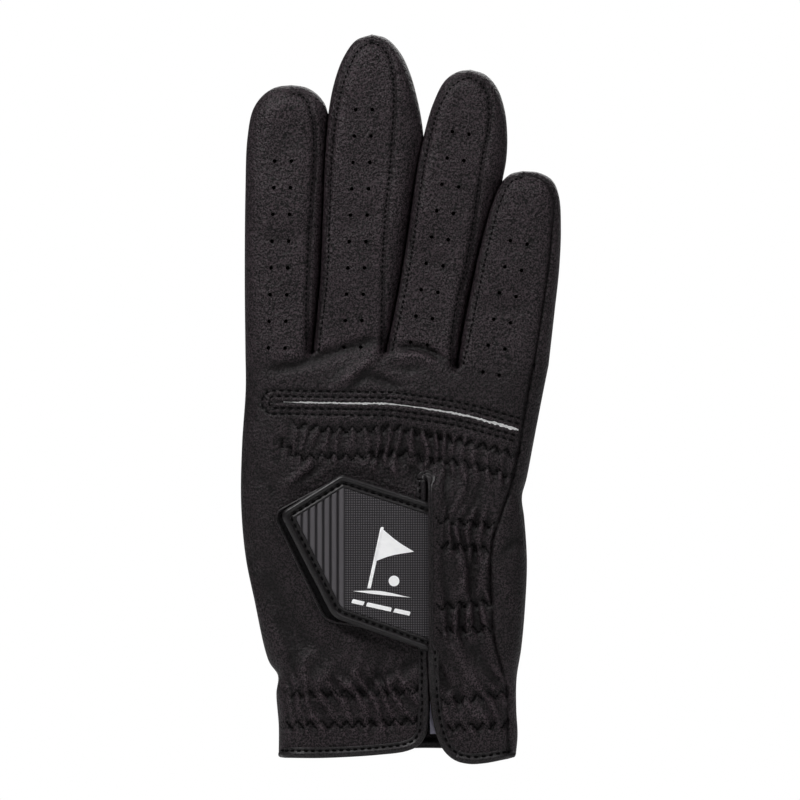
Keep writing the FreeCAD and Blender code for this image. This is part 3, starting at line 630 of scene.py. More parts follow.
def height(side, x, z):
    """The distance of the leather's outer face from the middle plane."""
    x, z = np.asarray(x, float), np.asarray(z, float)
    outer, gap = edge_distances(x, z)
    upper = ease((z - 108) / 34)
    half = HAND_HALF + (FINGER_HALF - HAND_HALF) * upper
    share = np.minimum(cap(outer, 9.5 - 2 * upper), cap(gap, gap_reach(x, z)))
    near = np.minimum(outer, gap)
    level = half * share + read_map(DETAIL[side], x, z) * ease(near / DETAIL_EDGE)
    if side == BACK:
        level = level + flap_lift(x, z)
    return level


def on_surface(side, points, above=0.0):
    """Points and outward normals on the leather, at a height above it."""
    x, z = points[:, 0].copy(), points[:, 1].copy()
    step = 0.3
    level = height(side, x, z)
    slope_x = (height(side, x + step, z) - height(side, x - step, z)) / (2 * step)
    slope_z = (height(side, x, z + step) - height(side, x, z - step)) / (2 * step)
    slope_x, slope_z = np.clip(slope_x, -2, 2), np.clip(slope_z, -2, 2)
    normal = np.stack([-slope_x, np.full(len(x), float(side)), -slope_z], 1)
    normal /= np.linalg.norm(normal, axis=1)[:, None]
    place = np.stack([x, side * level, z], 1)
    return place + normal * above, normal


# ---- meshes ----

EDGE_ROWS = (0.12, 0.42, 0.85, 1.35)


def lifted(flat, level):
    """Flat (x, z) points put at a place along Y."""
    return np.stack([flat[:, 0], level, flat[:, 1]], 1)


def make_object(name, vertices, faces, material, smooth=True):
    """A mesh object from points in millimetres."""
    mesh = bpy.data.meshes.new(name)
    mesh.from_pydata((np.asarray(vertices) * MM).tolist(), [], [tuple(map(int, face)) for face in faces])
    mesh.materials.append(material)
    mesh.polygons.foreach_set("use_smooth", [smooth] * len(mesh.polygons))
    mesh.update()
    piece = bpy.data.objects.new(name, mesh)
    bpy.context.scene.collection.objects.link(piece)
    return piece


def edge_rows(edges, close, pitch):
    """Rows of points beside silhouette lines, where the leather curves most."""
    rows = []
    for reach in EDGE_ROWS:
        for line in edges:
            for side in (1, -1):
                row = shifted(line, reach * side)
                row = row[read_map(close, row[:, 0], row[:, 1]) > min(reach * 0.8, pitch * 0.4)]
                if len(row):
                    row = row[exact_distance(row[:, 0], row[:, 1], edges) > reach * 0.93]
                rows.append(row)
    return rows


def within(points, loops):
    """Which points lie in the first loop and outside the others."""
    found = inside(points[:, 0], points[:, 1], loops[0])
    for hole in loops[1:]:
        found &= ~inside(points[:, 0], points[:, 1], hole)
    return found


def inner_points(loops, pitch, edges):
    """A triangular grid of points in a region, with closer rows beside silhouette lines."""
    close = np.minimum.reduce([distance_map(np.vstack([loop, loop[:1]]), 2.0) for loop in loops])
    low, high = loops[0].min(0), loops[0].max(0)
    rows = np.arange(low[1], high[1], pitch * 0.866)
    across = np.arange(low[0], high[0], pitch)
    grid = np.stack(np.meshgrid(across, rows), -1)
    grid[1::2, :, 0] += pitch / 2
    grid = grid.reshape(-1, 2)
    grid = grid[read_map(close, grid[:, 0], grid[:, 1]) > pitch * 0.5]
    if len(edges):
        border = np.minimum.reduce([distance_map(line, 2.6) for line in edges])
        grid = grid[read_map(border, grid[:, 0], grid[:, 1]) > 1.5]
        grid = np.vstack([grid] + edge_rows(edges, close, pitch))
    return grid[within(grid, loops)]


def triangulate(outline, holes=(), pitch=0.6, edges=()):
    """Points and triangles of a flat region, finer beside the silhouette lines in edges."""
    loops = [np.asarray(outline)] + [np.asarray(hole) for hole in holes]
    points = np.vstack(loops + [inner_points(loops, pitch, edges)])
    constraints, start = [], 0
    for loop in loops:
        count = len(loop)
        constraints += [(start + k, start + (k + 1) % count) for k in range(count)]
        start += count
    made = delaunay_2d_cdt([Vector(map(float, point)) for point in points], constraints, [], 0, 1e-5, True)
    flat, faces = np.array([tuple(point) for point in made[0]]), np.array(made[2])
    on_rim = np.array([min(source) < start if source else True for source in made[3]])
    doubtful = on_rim[faces].all(1)
    keep = np.ones(len(faces), bool)
    keep[doubtful] = within(flat[faces].mean(1)[doubtful], loops)
    faces = faces[keep]
    a, b, c = flat[faces[:, 0]], flat[faces[:, 1]], flat[faces[:, 2]]
    area = (b[:, 0] - a[:, 0]) * (c[:, 1] - a[:, 1]) - (b[:, 1] - a[:, 1]) * (c[:, 0] - a[:, 0])
    faces[area < 0] = faces[area < 0][:, ::-1]
    return flat, faces[np.abs(area) > 1e-7]


def vertex_normals(vertices, faces):
    """Outward normals at the points of a triangle mesh."""
    a, b, c = (vertices[faces[:, k]] for k in range(3))
    flat = np.cross(b - a, c - a)
    normals = np.zeros_like(vertices)
    for k in range(3):
        np.add.at(normals, faces[:, k], flat)
    return normals / np.maximum(np.linalg.norm(normals, axis=1), 1e-12)[:, None]


def open_edges(faces):
    """The edges that only one face uses, in that face's direction."""
    edges = np.vstack([faces[:, [0, 1]], faces[:, [1, 2]], faces[:, [2, 0]]])
    keys = np.sort(edges, axis=1)
    order = np.unique(keys, axis=0, return_inverse=True, return_counts=True)
    return edges[order[2][order[1].ravel()] == 1]


def shell(name, vertices, faces, material, thick=LEATHER_THICK):
    """A sheet with thickness: its outer face, an inner face behind it and a rim."""
    normals = vertex_normals(vertices, faces)
    count = len(vertices)
    rim = open_edges(faces)
    everything = [tuple(face) for face in faces] + [tuple(face[::-1] + count) for face in faces]
    everything += [(b, a, a + count, b + count) for a, b in rim]
    piece = make_object(name, np.vstack([vertices, vertices - normals * thick]), everything, material)
    sharp = {tuple(sorted(map(int, edge))) for edge in np.vstack([rim, rim + count])}
    flags = [tuple(sorted(edge.vertices)) in sharp for edge in piece.data.edges]
    piece.data.attributes.new("sharp_edge", "BOOLEAN", "EDGE").data.foreach_set("value", flags)
    # the leather keeps its relief as a point attribute, for painted shade in the valleys and painted
    # highlight on the ridges
    if material is LEATHER:
        x, y, z = np.vstack([vertices, vertices]).T
        relief = np.where(y < 0, read_map(RELIEF_SHADING[BACK], x, z), read_map(RELIEF_SHADING[PALM], x, z))
        piece.data.attributes.new("relief", "FLOAT", "POINT").data.foreach_set("value", relief)
    return piece


def half_shell(side, region, holes=(), pitch=0.6, edges=()):
    """The outer points and faces of a region of the back or of the palm."""
    flat, faces = triangulate(region, holes, pitch, edges)
    level = height(side, flat[:, 0], flat[:, 1])
    return lifted(flat, side * level), faces if side == BACK else faces[:, ::-1]


def joined(parts):
    """Several triangle meshes as one, with points at the same place merged."""
    vertices = np.vstack([part[0] for part in parts])
    offsets = np.cumsum([0] + [len(part[0]) for part in parts[:-1]])
    faces = np.vstack([part[1] + offset for part, offset in zip(parts, offsets)])
    keys = np.round(vertices, 3)
    kept, back = np.unique(keys, axis=0, return_inverse=True)
    faces = back.ravel()[faces]
    good = (faces[:, 0] != faces[:, 1]) & (faces[:, 1] != faces[:, 2]) & (faces[:, 0] != faces[:, 2])
    return kept, faces[good]


def base_line(start, end, level):
    """A straight line of points across the root of a finger."""
    return resample([(start, level), (end, level)], 0.6)


def tube_sweep(path, normals, profile, closed=False, size=1.0):
    """A profile of (across, up) points swept along a path; across lies square to path and normal."""
    size = np.reshape(size, (-1, 1, 1))
    along = np.gradient(path, axis=0)
    along /= np.linalg.norm(along, axis=1)[:, None]
    across = np.cross(along, normals)
    across /= np.linalg.norm(across, axis=1)[:, None]
    rings = [path[:, None, :] + (across[:, None, :] * u + normals[:, None, :] * v) * size
             for u, v in profile]
    vertices = np.concatenate(rings, axis=1).reshape(-1, 3)
    count, around = len(path), len(profile)
    faces = []
    for k in range(count if closed else count - 1):
        here, there = k * around, ((k + 1) % count) * around
        faces += [(here + m, here + (m + 1) % around, there + (m + 1) % around, there + m)
                  for m in range(around)]
    if not closed:
        faces += [tuple(range(around))[::-1], tuple((count - 1) * around + m for m in range(around))]
    return vertices, faces


# how one stitch bows: share of its length, rise above the leather and share of the thread's radius
STITCH_BOW = [(-0.5, -1.0, 0.45), (-0.36, 0.3, 0.85), (0, 0.75, 1.0), (0.36, 0.3, 0.85), (0.5, -1.0, 0.45)]
STITCH_RISE = 0.12
# kinds of stitch rows: pitch, share of the pitch that shows, radius of the thread
SEWING = {
    "seam": (1.65, 0.62, 0.3), "slot": (2.3, 0.6, 0.34), "zigzag": (0.98, 0.74, 0.27),
    "palm_zigzag": (0.98, 0.7, 0.2), "binding": (2.1, 0.62, 0.3), "loop_pad": (2.0, 0.62, 0.2),
    "tab": (2.2, 0.64, 0.26), "thumb": (1.8, 0.62, 0.2),
}


def stitches(name, places, normals, kind):
    """Short lengths of thread along a path: each rises out of the leather and dips back in."""
    pitch, length, radius = SEWING[kind]
    steps = np.linalg.norm(np.diff(places, axis=0), axis=1)
    along = np.concatenate([[0], np.cumsum(steps)])
    count = max(1, int(along[-1] / pitch))
    shown = pitch * length
    vertices, faces = [], []

    def at(mark, values):
        return np.array([np.interp(mark, along, values[:, k]) for k in range(3)])

    for number in range(count):
        middle = (number + 0.5) * along[-1] / count
        start, end = at(middle - shown / 2, places), at(middle + shown / 2, places)
        up = at(middle, normals)
        up /= np.linalg.norm(up)
        ahead = end - start
        ahead /= max(np.linalg.norm(ahead), 1e-9)
        side = np.cross(ahead, up)
        base = len(vertices)
        for share, rise, swell in STITCH_BOW:
            centre = at(middle + share * shown, places) + up * STITCH_RISE * rise
            for turn in np.radians(np.arange(0, 360, 60)):
                vertices.append(centre + (side * math.cos(turn) + up * math.sin(turn)) * radius * swell)
        for ring in range(len(STITCH_BOW) - 1):
            first = base + ring * 6
            faces += [(first + m, first + (m + 1) % 6, first + 6 + (m + 1) % 6, first + 6 + m)
                      for m in range(6)]
        faces += [tuple(base + m for m in range(6))[::-1], tuple(base + 24 + m for m in range(6))]
    return outward(make_object(name, np.array(vertices), faces, THREAD))


# ---- materials ----


def new_material(name, colour, roughness, **sockets):
    """A Principled material; sockets are further constant values of the shader."""
    material = bpy.data.materials.new(name)
    material.use_nodes = True
    shader = material.node_tree.nodes["Principled BSDF"]
    shader.inputs["Base Color"].default_value = (*colour, 1)
    shader.inputs["Roughness"].default_value = roughness
    for socket, value in sockets.items():
        shader.inputs[socket.replace("_", " ")].default_value = value
    return material


def add_node(material, kind, inputs=None, **settings):
    """A node with its settings; inputs are constants or other nodes' outputs."""
    node = material.node_tree.nodes.new(kind)
    for key, value in settings.items():
        setattr(node, key, value)
    for key, value in (inputs or {}).items():
        if isinstance(value, bpy.types.NodeSocket):
            material.node_tree.links.new(value, node.inputs[key])
        else:
            node.inputs[key].default_value = value
    return node


def places(material):
    """The place of a point in the frame, in metres."""
    return add_node(material, "ShaderNodeTexCoord").outputs["Object"]


def noise_of(material, scale, detail=3.0, roughness=0.6):
    """A noise texture; scale is in blots per metre."""
    node = add_node(material, "ShaderNodeTexNoise",
                    {"Vector": places(material), "Scale": scale, "Detail": detail, "Roughness": roughness})
    return node.outputs["Fac"]


def cells_of(material, scale, feature="F1"):
    """A cell texture: the distance to the nearest of scattered points."""
    node = add_node(material, "ShaderNodeTexVoronoi", {"Vector": places(material), "Scale": scale},
                    feature=feature)
    return node.outputs["Distance"]


def math_of(material, operation, first, second=0.0):
    """Arithmetic on one or two values."""
    return add_node(material, "ShaderNodeMath", {0: first, 1: second}, operation=operation).outputs[0]


def mixed(material, *parts):
    """The sum of (value, share) pairs, each value times its share."""
    total = None
    for value, share in parts:
        part = math_of(material, "MULTIPLY", value, share)
        total = math_of(material, "ADD", total, part) if total else part
    return total


def colour_by(material, factor, stops):
    """Drive the base colour by a value through colour stops."""
    ramp = add_node(material, "ShaderNodeValToRGB", {"Fac": factor})
    while len(ramp.color_ramp.elements) < len(stops):
        ramp.color_ramp.elements.new(0.5)
    for element, (place, colour) in zip(ramp.color_ramp.elements, stops):
        element.position = place
        element.color = (*colour, 1)
    shader = material.node_tree.nodes["Principled BSDF"]
    material.node_tree.links.new(ramp.outputs["Color"], shader.inputs["Base Color"])


def roughness_by(material, factor, low, high):
    """Drive the roughness between two values."""
    spread = add_node(material, "ShaderNodeMapRange", {"Value": factor, "To Min": low, "To Max": high})
    shader = material.node_tree.nodes["Principled BSDF"]
    material.node_tree.links.new(spread.outputs["Result"], shader.inputs["Roughness"])


def bump_by(material, value, depth, strength=1.0):
    """Drive the normal by a height of the given depth in metres."""
    node = add_node(material, "ShaderNodeBump", {"Height": value, "Distance": depth, "Strength": strength})
    shader = material.node_tree.nodes["Principled BSDF"]
    material.node_tree.links.new(node.outputs["Normal"], shader.inputs["Normal"])


def leather_material(name, dark, light, grain=0.0003, gloss=0.22, rough=(0.38, 0.6), cavity_shade=False):
    """Soft black synthetic leather with a pebbled grain; where the relief attribute is used, its ridges get
    painted highlight and its valleys painted shade, by the relief that each leather piece carries."""
    material = new_material(name, dark, 0.5, Specular_IOR_Level=gloss)
    pebbles = mixed(material, (cells_of(material, 1150, "SMOOTH_F1"), 1.3),
                    (noise_of(material, 2600, 2), 0.7), (noise_of(material, 520, 2), 0.5))
    bump_by(material, pebbles, grain)
    mottle = mixed(material, (noise_of(material, 2100, 1, 0.6), 0.9), (noise_of(material, 120, 3), 0.1))
    middle = tuple((a + b) / 2 for a, b in zip(dark, light))
    colour_by(material, mottle, [(0.44, dark), (0.5, middle), (0.56, light)])
    roughness_by(material, noise_of(material, 1500, 2), *rough)
    if cavity_shade:
        # painted shade and highlight: the base colour is scaled from 0.3 in the valleys to 1.7 on the ridges
        shader = material.node_tree.nodes["Principled BSDF"]
        relief = add_node(material, "ShaderNodeAttribute", attribute_name="relief").outputs["Fac"]
        relief_shade_factor = add_node(material, "ShaderNodeMapRange",
                        {"Value": relief, "From Min": -0.7, "From Max": 0.7, "To Min": 0.3, "To Max": 1.7})
        plain = shader.inputs["Base Color"].links[0].from_socket
        paled = add_node(material, "ShaderNodeVectorMath", {0: plain, "Scale": relief_shade_factor.outputs["Result"]},
                         operation="SCALE")
        material.node_tree.links.new(paled.outputs[0], shader.inputs["Base Color"])
    return material


def waves_of(material, scale, distortion=0.0):
    """Waves across the object's X and Z, for threads or a grid."""
    inputs = {"Vector": places(material), "Scale": scale, "Distortion": distortion, "Detail": 2.0,
              "Detail Scale": 2.0 if distortion else 1.0}
    return [add_node(material, "ShaderNodeTexWave", inputs, bands_direction=axis).outputs["Fac"]
            for axis in ("X", "Z")]


def fabric_material(name, dark, light, scale, depth, roughness=0.8):
    """A woven or knitted fabric with threads of the given scale."""
    material = new_material(name, dark, roughness, Specular_IOR_Level=0.06)
    both = math_of(material, "ADD", *waves_of(material, scale, 1.2))
    bump_by(material, math_of(material, "ADD", both, noise_of(material, scale * 3, 2)), depth)
    colour_by(material, math_of(material, "MULTIPLY", both, 0.5), [(0.2, dark), (0.8, light)])
    return material


def panel_material():
    """The tab's moulded panel: grey rubber with a fine square grid, and painted shade that darkens the
    grooves between the ribs at its root.
    """
    dark, light = (0.022, 0.0205, 0.0225), (0.105, 0.099, 0.107)
    material = new_material("tab_panel_rubber", light, 0.5, Specular_IOR_Level=0.12)
    grid = math_of(material, "MULTIPLY", *waves_of(material, 440))
    side = add_node(material, "ShaderNodeSeparateXYZ", {0: places(material)}).outputs["X"]
    right = math_of(material, "GREATER_THAN", side, RIBS_END * MM)
    shown = math_of(material, "MULTIPLY", grid, right)
    bump_by(material, mixed(material, (shown, 1.0), (noise_of(material, 3000, 2), 0.2)), 0.00008)
    across = math_of(material, "MULTIPLY", math_of(material, "SUBTRACT", side, RIBS_END * MM),
                     2 * math.pi / (RIB_PITCH * MM))
    # painted shade: the rib colour is darkest in each groove and pale on each rib's top
    ridge = math_of(material, "SUBTRACT", 1.0, math_of(material, "COSINE", across))
    ribs = math_of(material, "MULTIPLY", math_of(material, "MINIMUM", ridge, 1.0), 0.55)
    rib_groove_shade = math_of(material, "MULTIPLY", math_of(material, "SUBTRACT", 1.0, right), ribs)
    colour_by(material, math_of(material, "ADD", shown, rib_groove_shade), [(0.05, dark), (0.6, light)])
    return material


RIBS_END = -15.3
RIB_PITCH = 2.16
LEATHER = leather_material("leather_black", (0.0010, 0.0006, 0.0008), (0.0350, 0.0255, 0.0300), cavity_shade=True)
EDGE_LEATHER = leather_material("leather_binding", (0.0026, 0.0020, 0.0023), (0.0216, 0.0176, 0.0198),
                                0.00006, 0.34, (0.34, 0.5))
ROLL_LEATHER = leather_material("leather_rolled_rim", (0.0056, 0.0045, 0.0053), (0.0116, 0.0096, 0.0110),
                                0.00004, 0.4, (0.32, 0.44))
THREAD = fabric_material("thread_black", (0.0012, 0.0012, 0.0013), (0.0045, 0.0042, 0.0045), 2400, 0.00004,
                         0.6)
ELASTIC = fabric_material("elastic_black", (0.008, 0.008, 0.009), (0.022, 0.022, 0.024), 900, 0.0001)
STRETCH = fabric_material("stretch_strip_white", (0.62, 0.62, 0.63), (0.95, 0.95, 0.95), 1100, 0.0002)
# painted light: the white stretch strip glows faintly, so it stays bright in the shade of the slot
STRETCH.node_tree.nodes["Principled BSDF"].inputs["Emission Color"].default_value = (1, 1, 1, 1)
STRETCH.node_tree.nodes["Principled BSDF"].inputs["Emission Strength"].default_value = 0.3
LABEL = fabric_material("label_lavender", (0.62, 0.60, 0.78), (0.84, 0.82, 0.95), 1500, 0.00003, 0.5)
PILE = fabric_material("pile_black", (0.007, 0.0065, 0.007), (0.026, 0.024, 0.026), 1900, 0.0002, 0.95)
# painted light: the white emblem glows faintly
EMBLEM = new_material("emblem_white", (0.86, 0.86, 0.87), 0.42, Specular_IOR_Level=0.3,
                      Emission_Strength=0.16)
bump_by(EMBLEM, noise_of(EMBLEM, 2400, 2), 0.00003)
colour_by(EMBLEM, noise_of(EMBLEM, 500, 2), [(0.3, (0.80, 0.80, 0.81)), (0.7, (0.92, 0.92, 0.93))])
PANEL = panel_material()

# ---- attaching pieces to the hand and baking the others in place ----


def on_hand(piece, slot, *nodes):
    """A piece that stays with the hand."""
    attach(piece, "hand")
    return finish_piece(piece, nodes)


def on_finger(piece, finger, slot, *nodes):
    """A piece of a finger, with its transform baked into its mesh."""
    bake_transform(piece)
    return finish_piece(piece, nodes)


def on_tab(piece, slot, *nodes):
    """A piece of the tab, with its transform baked into its mesh."""
    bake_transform(piece)
    return finish_piece(piece, nodes)


def finish_piece(piece, nodes):
    """Hide the CAD nodes that the piece stands for."""
    if nodes:
        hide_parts(*nodes)
    return piece


def outward(piece):
    """Turn the faces of a closed piece outwards."""
    mesh = bmesh.new()
    mesh.from_mesh(piece.data)
    bmesh.ops.recalc_face_normals(mesh, faces=mesh.faces)
    mesh.to_mesh(piece.data)
    mesh.free()
    return piece


# ---- the hand ----

VENT_RADIUS = 0.6
VENT_GAP = 5.0


def circle(x, z, radius, count=10):
    """A closed loop of points on a circle."""
    return arc((x, z), radius, 0, 360 - 360 / count, count)


# half the width of the knuckle slot's opening, along x
SLOT_OPEN = [(-34, 0.02), (-32, 0.08), (-29, 0.2), (-4, 0.28), (2, 0.14), (20, 0.28), (35, 0.42),
             (36.7, 0.2)]


def slot_hole():
    """The ragged opening of the knuckle slot, wider towards the little finger."""
    line = spline(SLOT, 0.55)
    half = np.interp(line[:, 0], *np.array(SLOT_OPEN).T)
    ragged = np.random.default_rng(5).uniform(0.45, 1.5, (2, len(line)))
    upper, lower = shifted(line, half * ragged[0]), shifted(line, -half * ragged[1])
    return chain(lower, upper[::-1])


SLIT_TOP = arc((9.25, 85.4), 0.55, 180, 0, 8)
# where the pieces of the fingers begin and end along the top of the hand
HAND_STOPS = [-43.1, -26.1, -25.0, -24.2, -3.6, -3.1, -2.2, 17.0, CROTCH_LINE[0, 0]]


def hand_top(end):
    """The upper border of the hand from the index fold to a point on the little finger's root."""
    lines = [base_line(a, b, ROOT_Z) for a, b in zip(HAND_STOPS[:-1], HAND_STOPS[1:])] + [CROTCH_LINE]
    stops = [18.3, 19.2, 41.3] + ([end] if end > 41.3 else [])
    return lines + [base_line(a, b, LITTLE_ROOT_Z) for a, b in zip(stops[:-1], stops[1:])]


def build_hand():
    """The back, the palm and the two side wraps."""
    region = chain(spline(LEFT_FOLD)[::-1], *hand_top(41.3), spline(BACK_SEAM), spline(RIGHT_FLAP)[::-1],
                   SLIT_TOP[::-1], spline(LEFT_FLAP)[::-1])
    vents = [circle(26.1, 117.9, VENT_RADIUS), circle(30.9, 117, VENT_RADIUS)]
    parts = half_shell(BACK, region, [slot_hole()] + vents, 0.6, [CROTCH_LINE])
    on_hand(shell("back_leather_skin", *parts, LEATHER), "leather", "back_leather")
    left = chain(spline(HAND_LEFT), base_line(-45.2, -43.1, ROOT_Z), spline(LEFT_FOLD),
                 resample([LEFT_FOLD[-1], HAND_LEFT[0]], 0.6))
    halves = [half_shell(side, left, (), 0.6, [spline(HAND_LEFT)]) for side in (BACK, PALM)]
    on_hand(shell("index_side_skin", *joined(halves), LEATHER), "leather", "index_side_wrap")
    halves = []
    for side, border in ((BACK, BACK_SEAM), (PALM, RIGHT_FOLD)):
        right = chain(spline(HAND_RIGHT), resample([HAND_RIGHT[-1], border[-1]], 0.6), spline(border)[::-1],
                      base_line(border[0][0], 45.8, LITTLE_ROOT_Z))
        halves.append(half_shell(side, right, (), 0.6, [spline(HAND_RIGHT)]))
    on_hand(shell("little_side_skin", *joined(halves), LEATHER), "leather", "little_side_wrap")
    palm = chain(spline(LEFT_FOLD)[::-1], *hand_top(43.6), spline(RIGHT_FOLD), spline(PALM_EDGE)[::-1])
    parts = half_shell(PALM, palm, [circle(-26, 55, 9.5, 40)], 0.75, [CROTCH_LINE])
    on_hand(shell("palm_skin", *parts, LEATHER), "leather", "palm_leather")


def sheet_under(name, line, reach, drop, thick, material, side=BACK, pitch=0.5):
    """A strip inside the glove along a line, a given drop below the leather's outer face."""
    region = chain(shifted(line, -reach), shifted(line, reach)[::-1])
    flat, faces = triangulate(region, (), pitch)
    level = height(side, flat[:, 0], flat[:, 1]) - drop
    faces = faces if side == BACK else faces[:, ::-1]
    return shell(name, lifted(flat, side * level), faces, material, thick)


def band_between(name, top, low, material, side=BACK):
    """An elastic band inside the glove, between two rows.

    It covers only about 0.7 of the rows: the count is of points 0.7 mm apart and the points
    taken are 1 mm apart.
    """
    top, low = spline(top), spline(low)
    count = min(len(top), len(low))
    middle = (resample(top, 1)[:count // 2] + resample(low, 1)[:count // 2]) / 2
    reach = float(np.mean(top[:, 1]) - np.mean(low[:, 1])) / 2 + 1.2
    return sheet_under(name, resample(middle, 0.7), reach, LEATHER_THICK + 0.12, 0.6, material, side, 0.8)


def build_bands():
    """The stretch strip of the knuckle slot and the elastic bands inside the glove."""
    strip = sheet_under("knuckle_stretch_fabric", spline(SLOT, 0.5), 1.25, 0.3, 0.35, STRETCH, BACK, 0.4)
    on_hand(strip, "stretch_strip", "knuckle_stretch_strip")
    for band, node in (("knuckle", "knuckle_elastic"), ("flap_upper", "upper_flap_elastic"),
                       ("flap_lower", "lower_flap_elastic"), ("cuff_left", "cuff_elastic_index_side"),
                       ("cuff_right", "cuff_elastic_little_side")):
        piece = band_between(f"{node}_band", BANDS[band]["top"], BANDS[band]["low"], ELASTIC)
        on_hand(piece, "elastic", node)
    top, low = [[(-31, level), (31, level)] for level in PALM_ROWS]
    piece = band_between("cuff_elastic_palm_side_band", top, low, ELASTIC, PALM)
    on_hand(piece, "elastic", "cuff_elastic_palm_side")


LABEL_THICK, LABEL_GAP = 0.2, 0.95


def build_label():
    """The blank size label sewn inside the palm."""
    left, right, foot, head = 10.2, 24.2, 9.3, 19.3
    region = chain(resample([(left, foot), (right, foot), (right, head), (left, head), (left, foot)], 0.7))
    flat, faces = triangulate(region, (), 0.7)
    level = height(PALM, flat[:, 0], flat[:, 1]) - LEATHER_THICK - LABEL_GAP
    piece = shell("size_label_blank", lifted(flat, level), faces, LABEL, LABEL_THICK)
    on_hand(piece, "label", "size_label")


# the section of a binding: across, from the edge inwards at -, and up
BINDING = [(0.45, -0.55), (0.6, 0.05), (0.42, 0.55), (0, 0.85), (-0.6, 0.9), (-1.1, 0.7), (-1.35, 0.3),
           (-1.9, 0.25), (-2.15, 0.5), (-2.5, 0.4), (-2.65, -0.05), (-2.5, -0.8), (-0.9, -1.15),
           (0.1, -0.95)]
BINDING_STITCH = 1.62


def hidden_edge(line):
    """How much of the binding is folded out of sight beside the tab: 1 is all of it."""
    return ease((line[:, 1] - 33) / 4) * ease((86.2 - line[:, 1]) / 2.5) * (line[:, 0] > 9.3)


def bind(name, line, node, side=BACK):
    """A folded strip of leather over an edge; its row of stitches starts below the tab."""
    path, normals = on_surface(side, line)
    profile = [(u * -side, v) for u, v in BINDING]
    size = 1 - 0.55 * hidden_edge(line) if side == BACK else 1.0
    piece = outward(make_object(name, *tube_sweep(path, normals, profile, False, size), EDGE_LEATHER))
    on_hand(piece, "binding", node)
    hidden = np.flatnonzero(hidden_edge(line) > 0.5)
    if len(hidden):
        line = line[hidden[-1] + 1:]
    row, normals = on_surface(side, shifted(line, BINDING_STITCH), 0.36)
    on_hand(stitches(f"{name}_stitches", row, normals, "binding"), "thread")


def build_bindings():
    """The bound edges of the two flaps and of the palm."""
    left = np.vstack([[-34.6, 2.9], spline(LEFT_FLAP, 0.6)])
    bind("binding_index_flap_edge", left, "binding_index_flap")
    right = spline(RIGHT_FLAP, 0.6)
    corner = int(np.argmin(np.abs(right[:, 0] - 17.8) + np.where(right[:, 1] > 10, 99, 0)))
    bind("binding_opening_edge", np.vstack([SLIT_TOP, right[1:corner + 1]]), "binding_opening")
    hem = np.vstack([right[corner:], [35.2, 2.9]])
    bind("binding_little_flap_edge", hem, "binding_little_flap_hem")
    palm = np.vstack([[-34.6, 2.9], spline(PALM_EDGE, 0.6), [35.2, 2.9]])
    bind("binding_palm_edge", resample(palm, 0.6), "binding_palm_hem", PALM)


def thread_along(name, line, kind, side=BACK, above=0.06):
    """A row of stitches along a line on the leather."""
    row, normals = on_surface(side, line, above)
    return stitches(name, row, normals, kind)


def build_hand_stitches():
    """The stitch rows of the knuckle slot, the elastics and the ring finger's root."""
    for number, row in enumerate(SLOT_ROWS):
        on_hand(thread_along(f"slot_stitches_{number + 1}", row, "slot"), "thread")
    for band, shape in BANDS.items():
        for word in ("top", "low"):
            row = zigzag(shape[word])
            on_hand(thread_along(f"zigzag_{band}_{word}", row, "zigzag", above=0.02), "thread")
    row = shifted(spline(RING_ROOT_SEAM), -STITCH_INSET)
    on_hand(thread_along("ring_root_stitches", row, "seam"), "thread")
    for word, level in zip(("top", "low"), PALM_ROWS):
        row = zigzag([(-33, level), (33, level)])
        on_hand(thread_along(f"zigzag_palm_{word}", row, "palm_zigzag", PALM, 0.08), "thread")


# ---- the fingers ----


def vents_of(finger):
    """The pairs of vent holes along a finger."""
    shape = FINGERS[finger]
    first, last, count = shape["vents"]
    holes = []
    for share in np.linspace(0, 1, count):
        x, z = first[0] * (1 - share) + last[0] * share, first[1] * (1 - share) + last[1] * share
        holes += [circle(x, z, VENT_RADIUS), circle(x + VENT_GAP, z + shape["vent_turn"], VENT_RADIUS)]
    return holes


def finger_seams(finger):
    """The seams of a finger's back and front, and the height of its root."""
    shape = FINGERS[finger]
    up, down = spline(shape["seam_up"]), spline(shape["seam_down"])
    front_down = spline(shape.get("fold_down", shape["seam_down"]))
    return up, down, front_down, shape["base"]


def build_finger_sheets(finger):
    """The back with its vent holes, and the front."""
    up, down, front_down, base = finger_seams(finger)
    back = chain(up, down, base_line(down[-1, 0], up[0, 0], base))
    parts = half_shell(BACK, back, vents_of(finger))
    on_finger(shell(f"{finger}_back_skin", *parts, LEATHER), finger, "leather", f"{finger}_back")
    root = [base_line(down[-1, 0], up[0, 0], base)]
    if "fold_down" in FINGERS[finger]:
        root = [base_line(front_down[-1, 0], down[-1, 0], base)] + root
    parts = half_shell(PALM, chain(up, front_down, *root))
    on_finger(shell(f"{finger}_front_skin", *parts, LEATHER), finger, "leather", f"{finger}_front")


def build_finger_walls(finger):
    """The two walls between the seams and the silhouette, round from the back to the front."""
    up, down, front_down, base = finger_seams(finger)
    edges = {side: edge_line(finger, side) for side in ("up", "down")}
    tip = resample([edges["up"][-1], up[-1]], 0.6)
    for word, node in zip(("up", "down"), FINGERS[finger]["walls"]):
        halves = []
        edge = edges[word]
        for side in (BACK, PALM):
            seam = down if side == BACK else front_down
            if word == "up":
                region = chain(edge, tip, up[::-1], base_line(up[0, 0], edge[0, 0], base))
            else:
                region = chain(edge, base_line(edge[-1, 0], seam[-1, 0], base), seam[::-1], tip[::-1])
            halves.append(half_shell(side, region, (), 0.6, [edge]))
        piece = shell(f"{node}_skin", *joined(halves), LEATHER)
        on_finger(piece, finger, "leather", node)


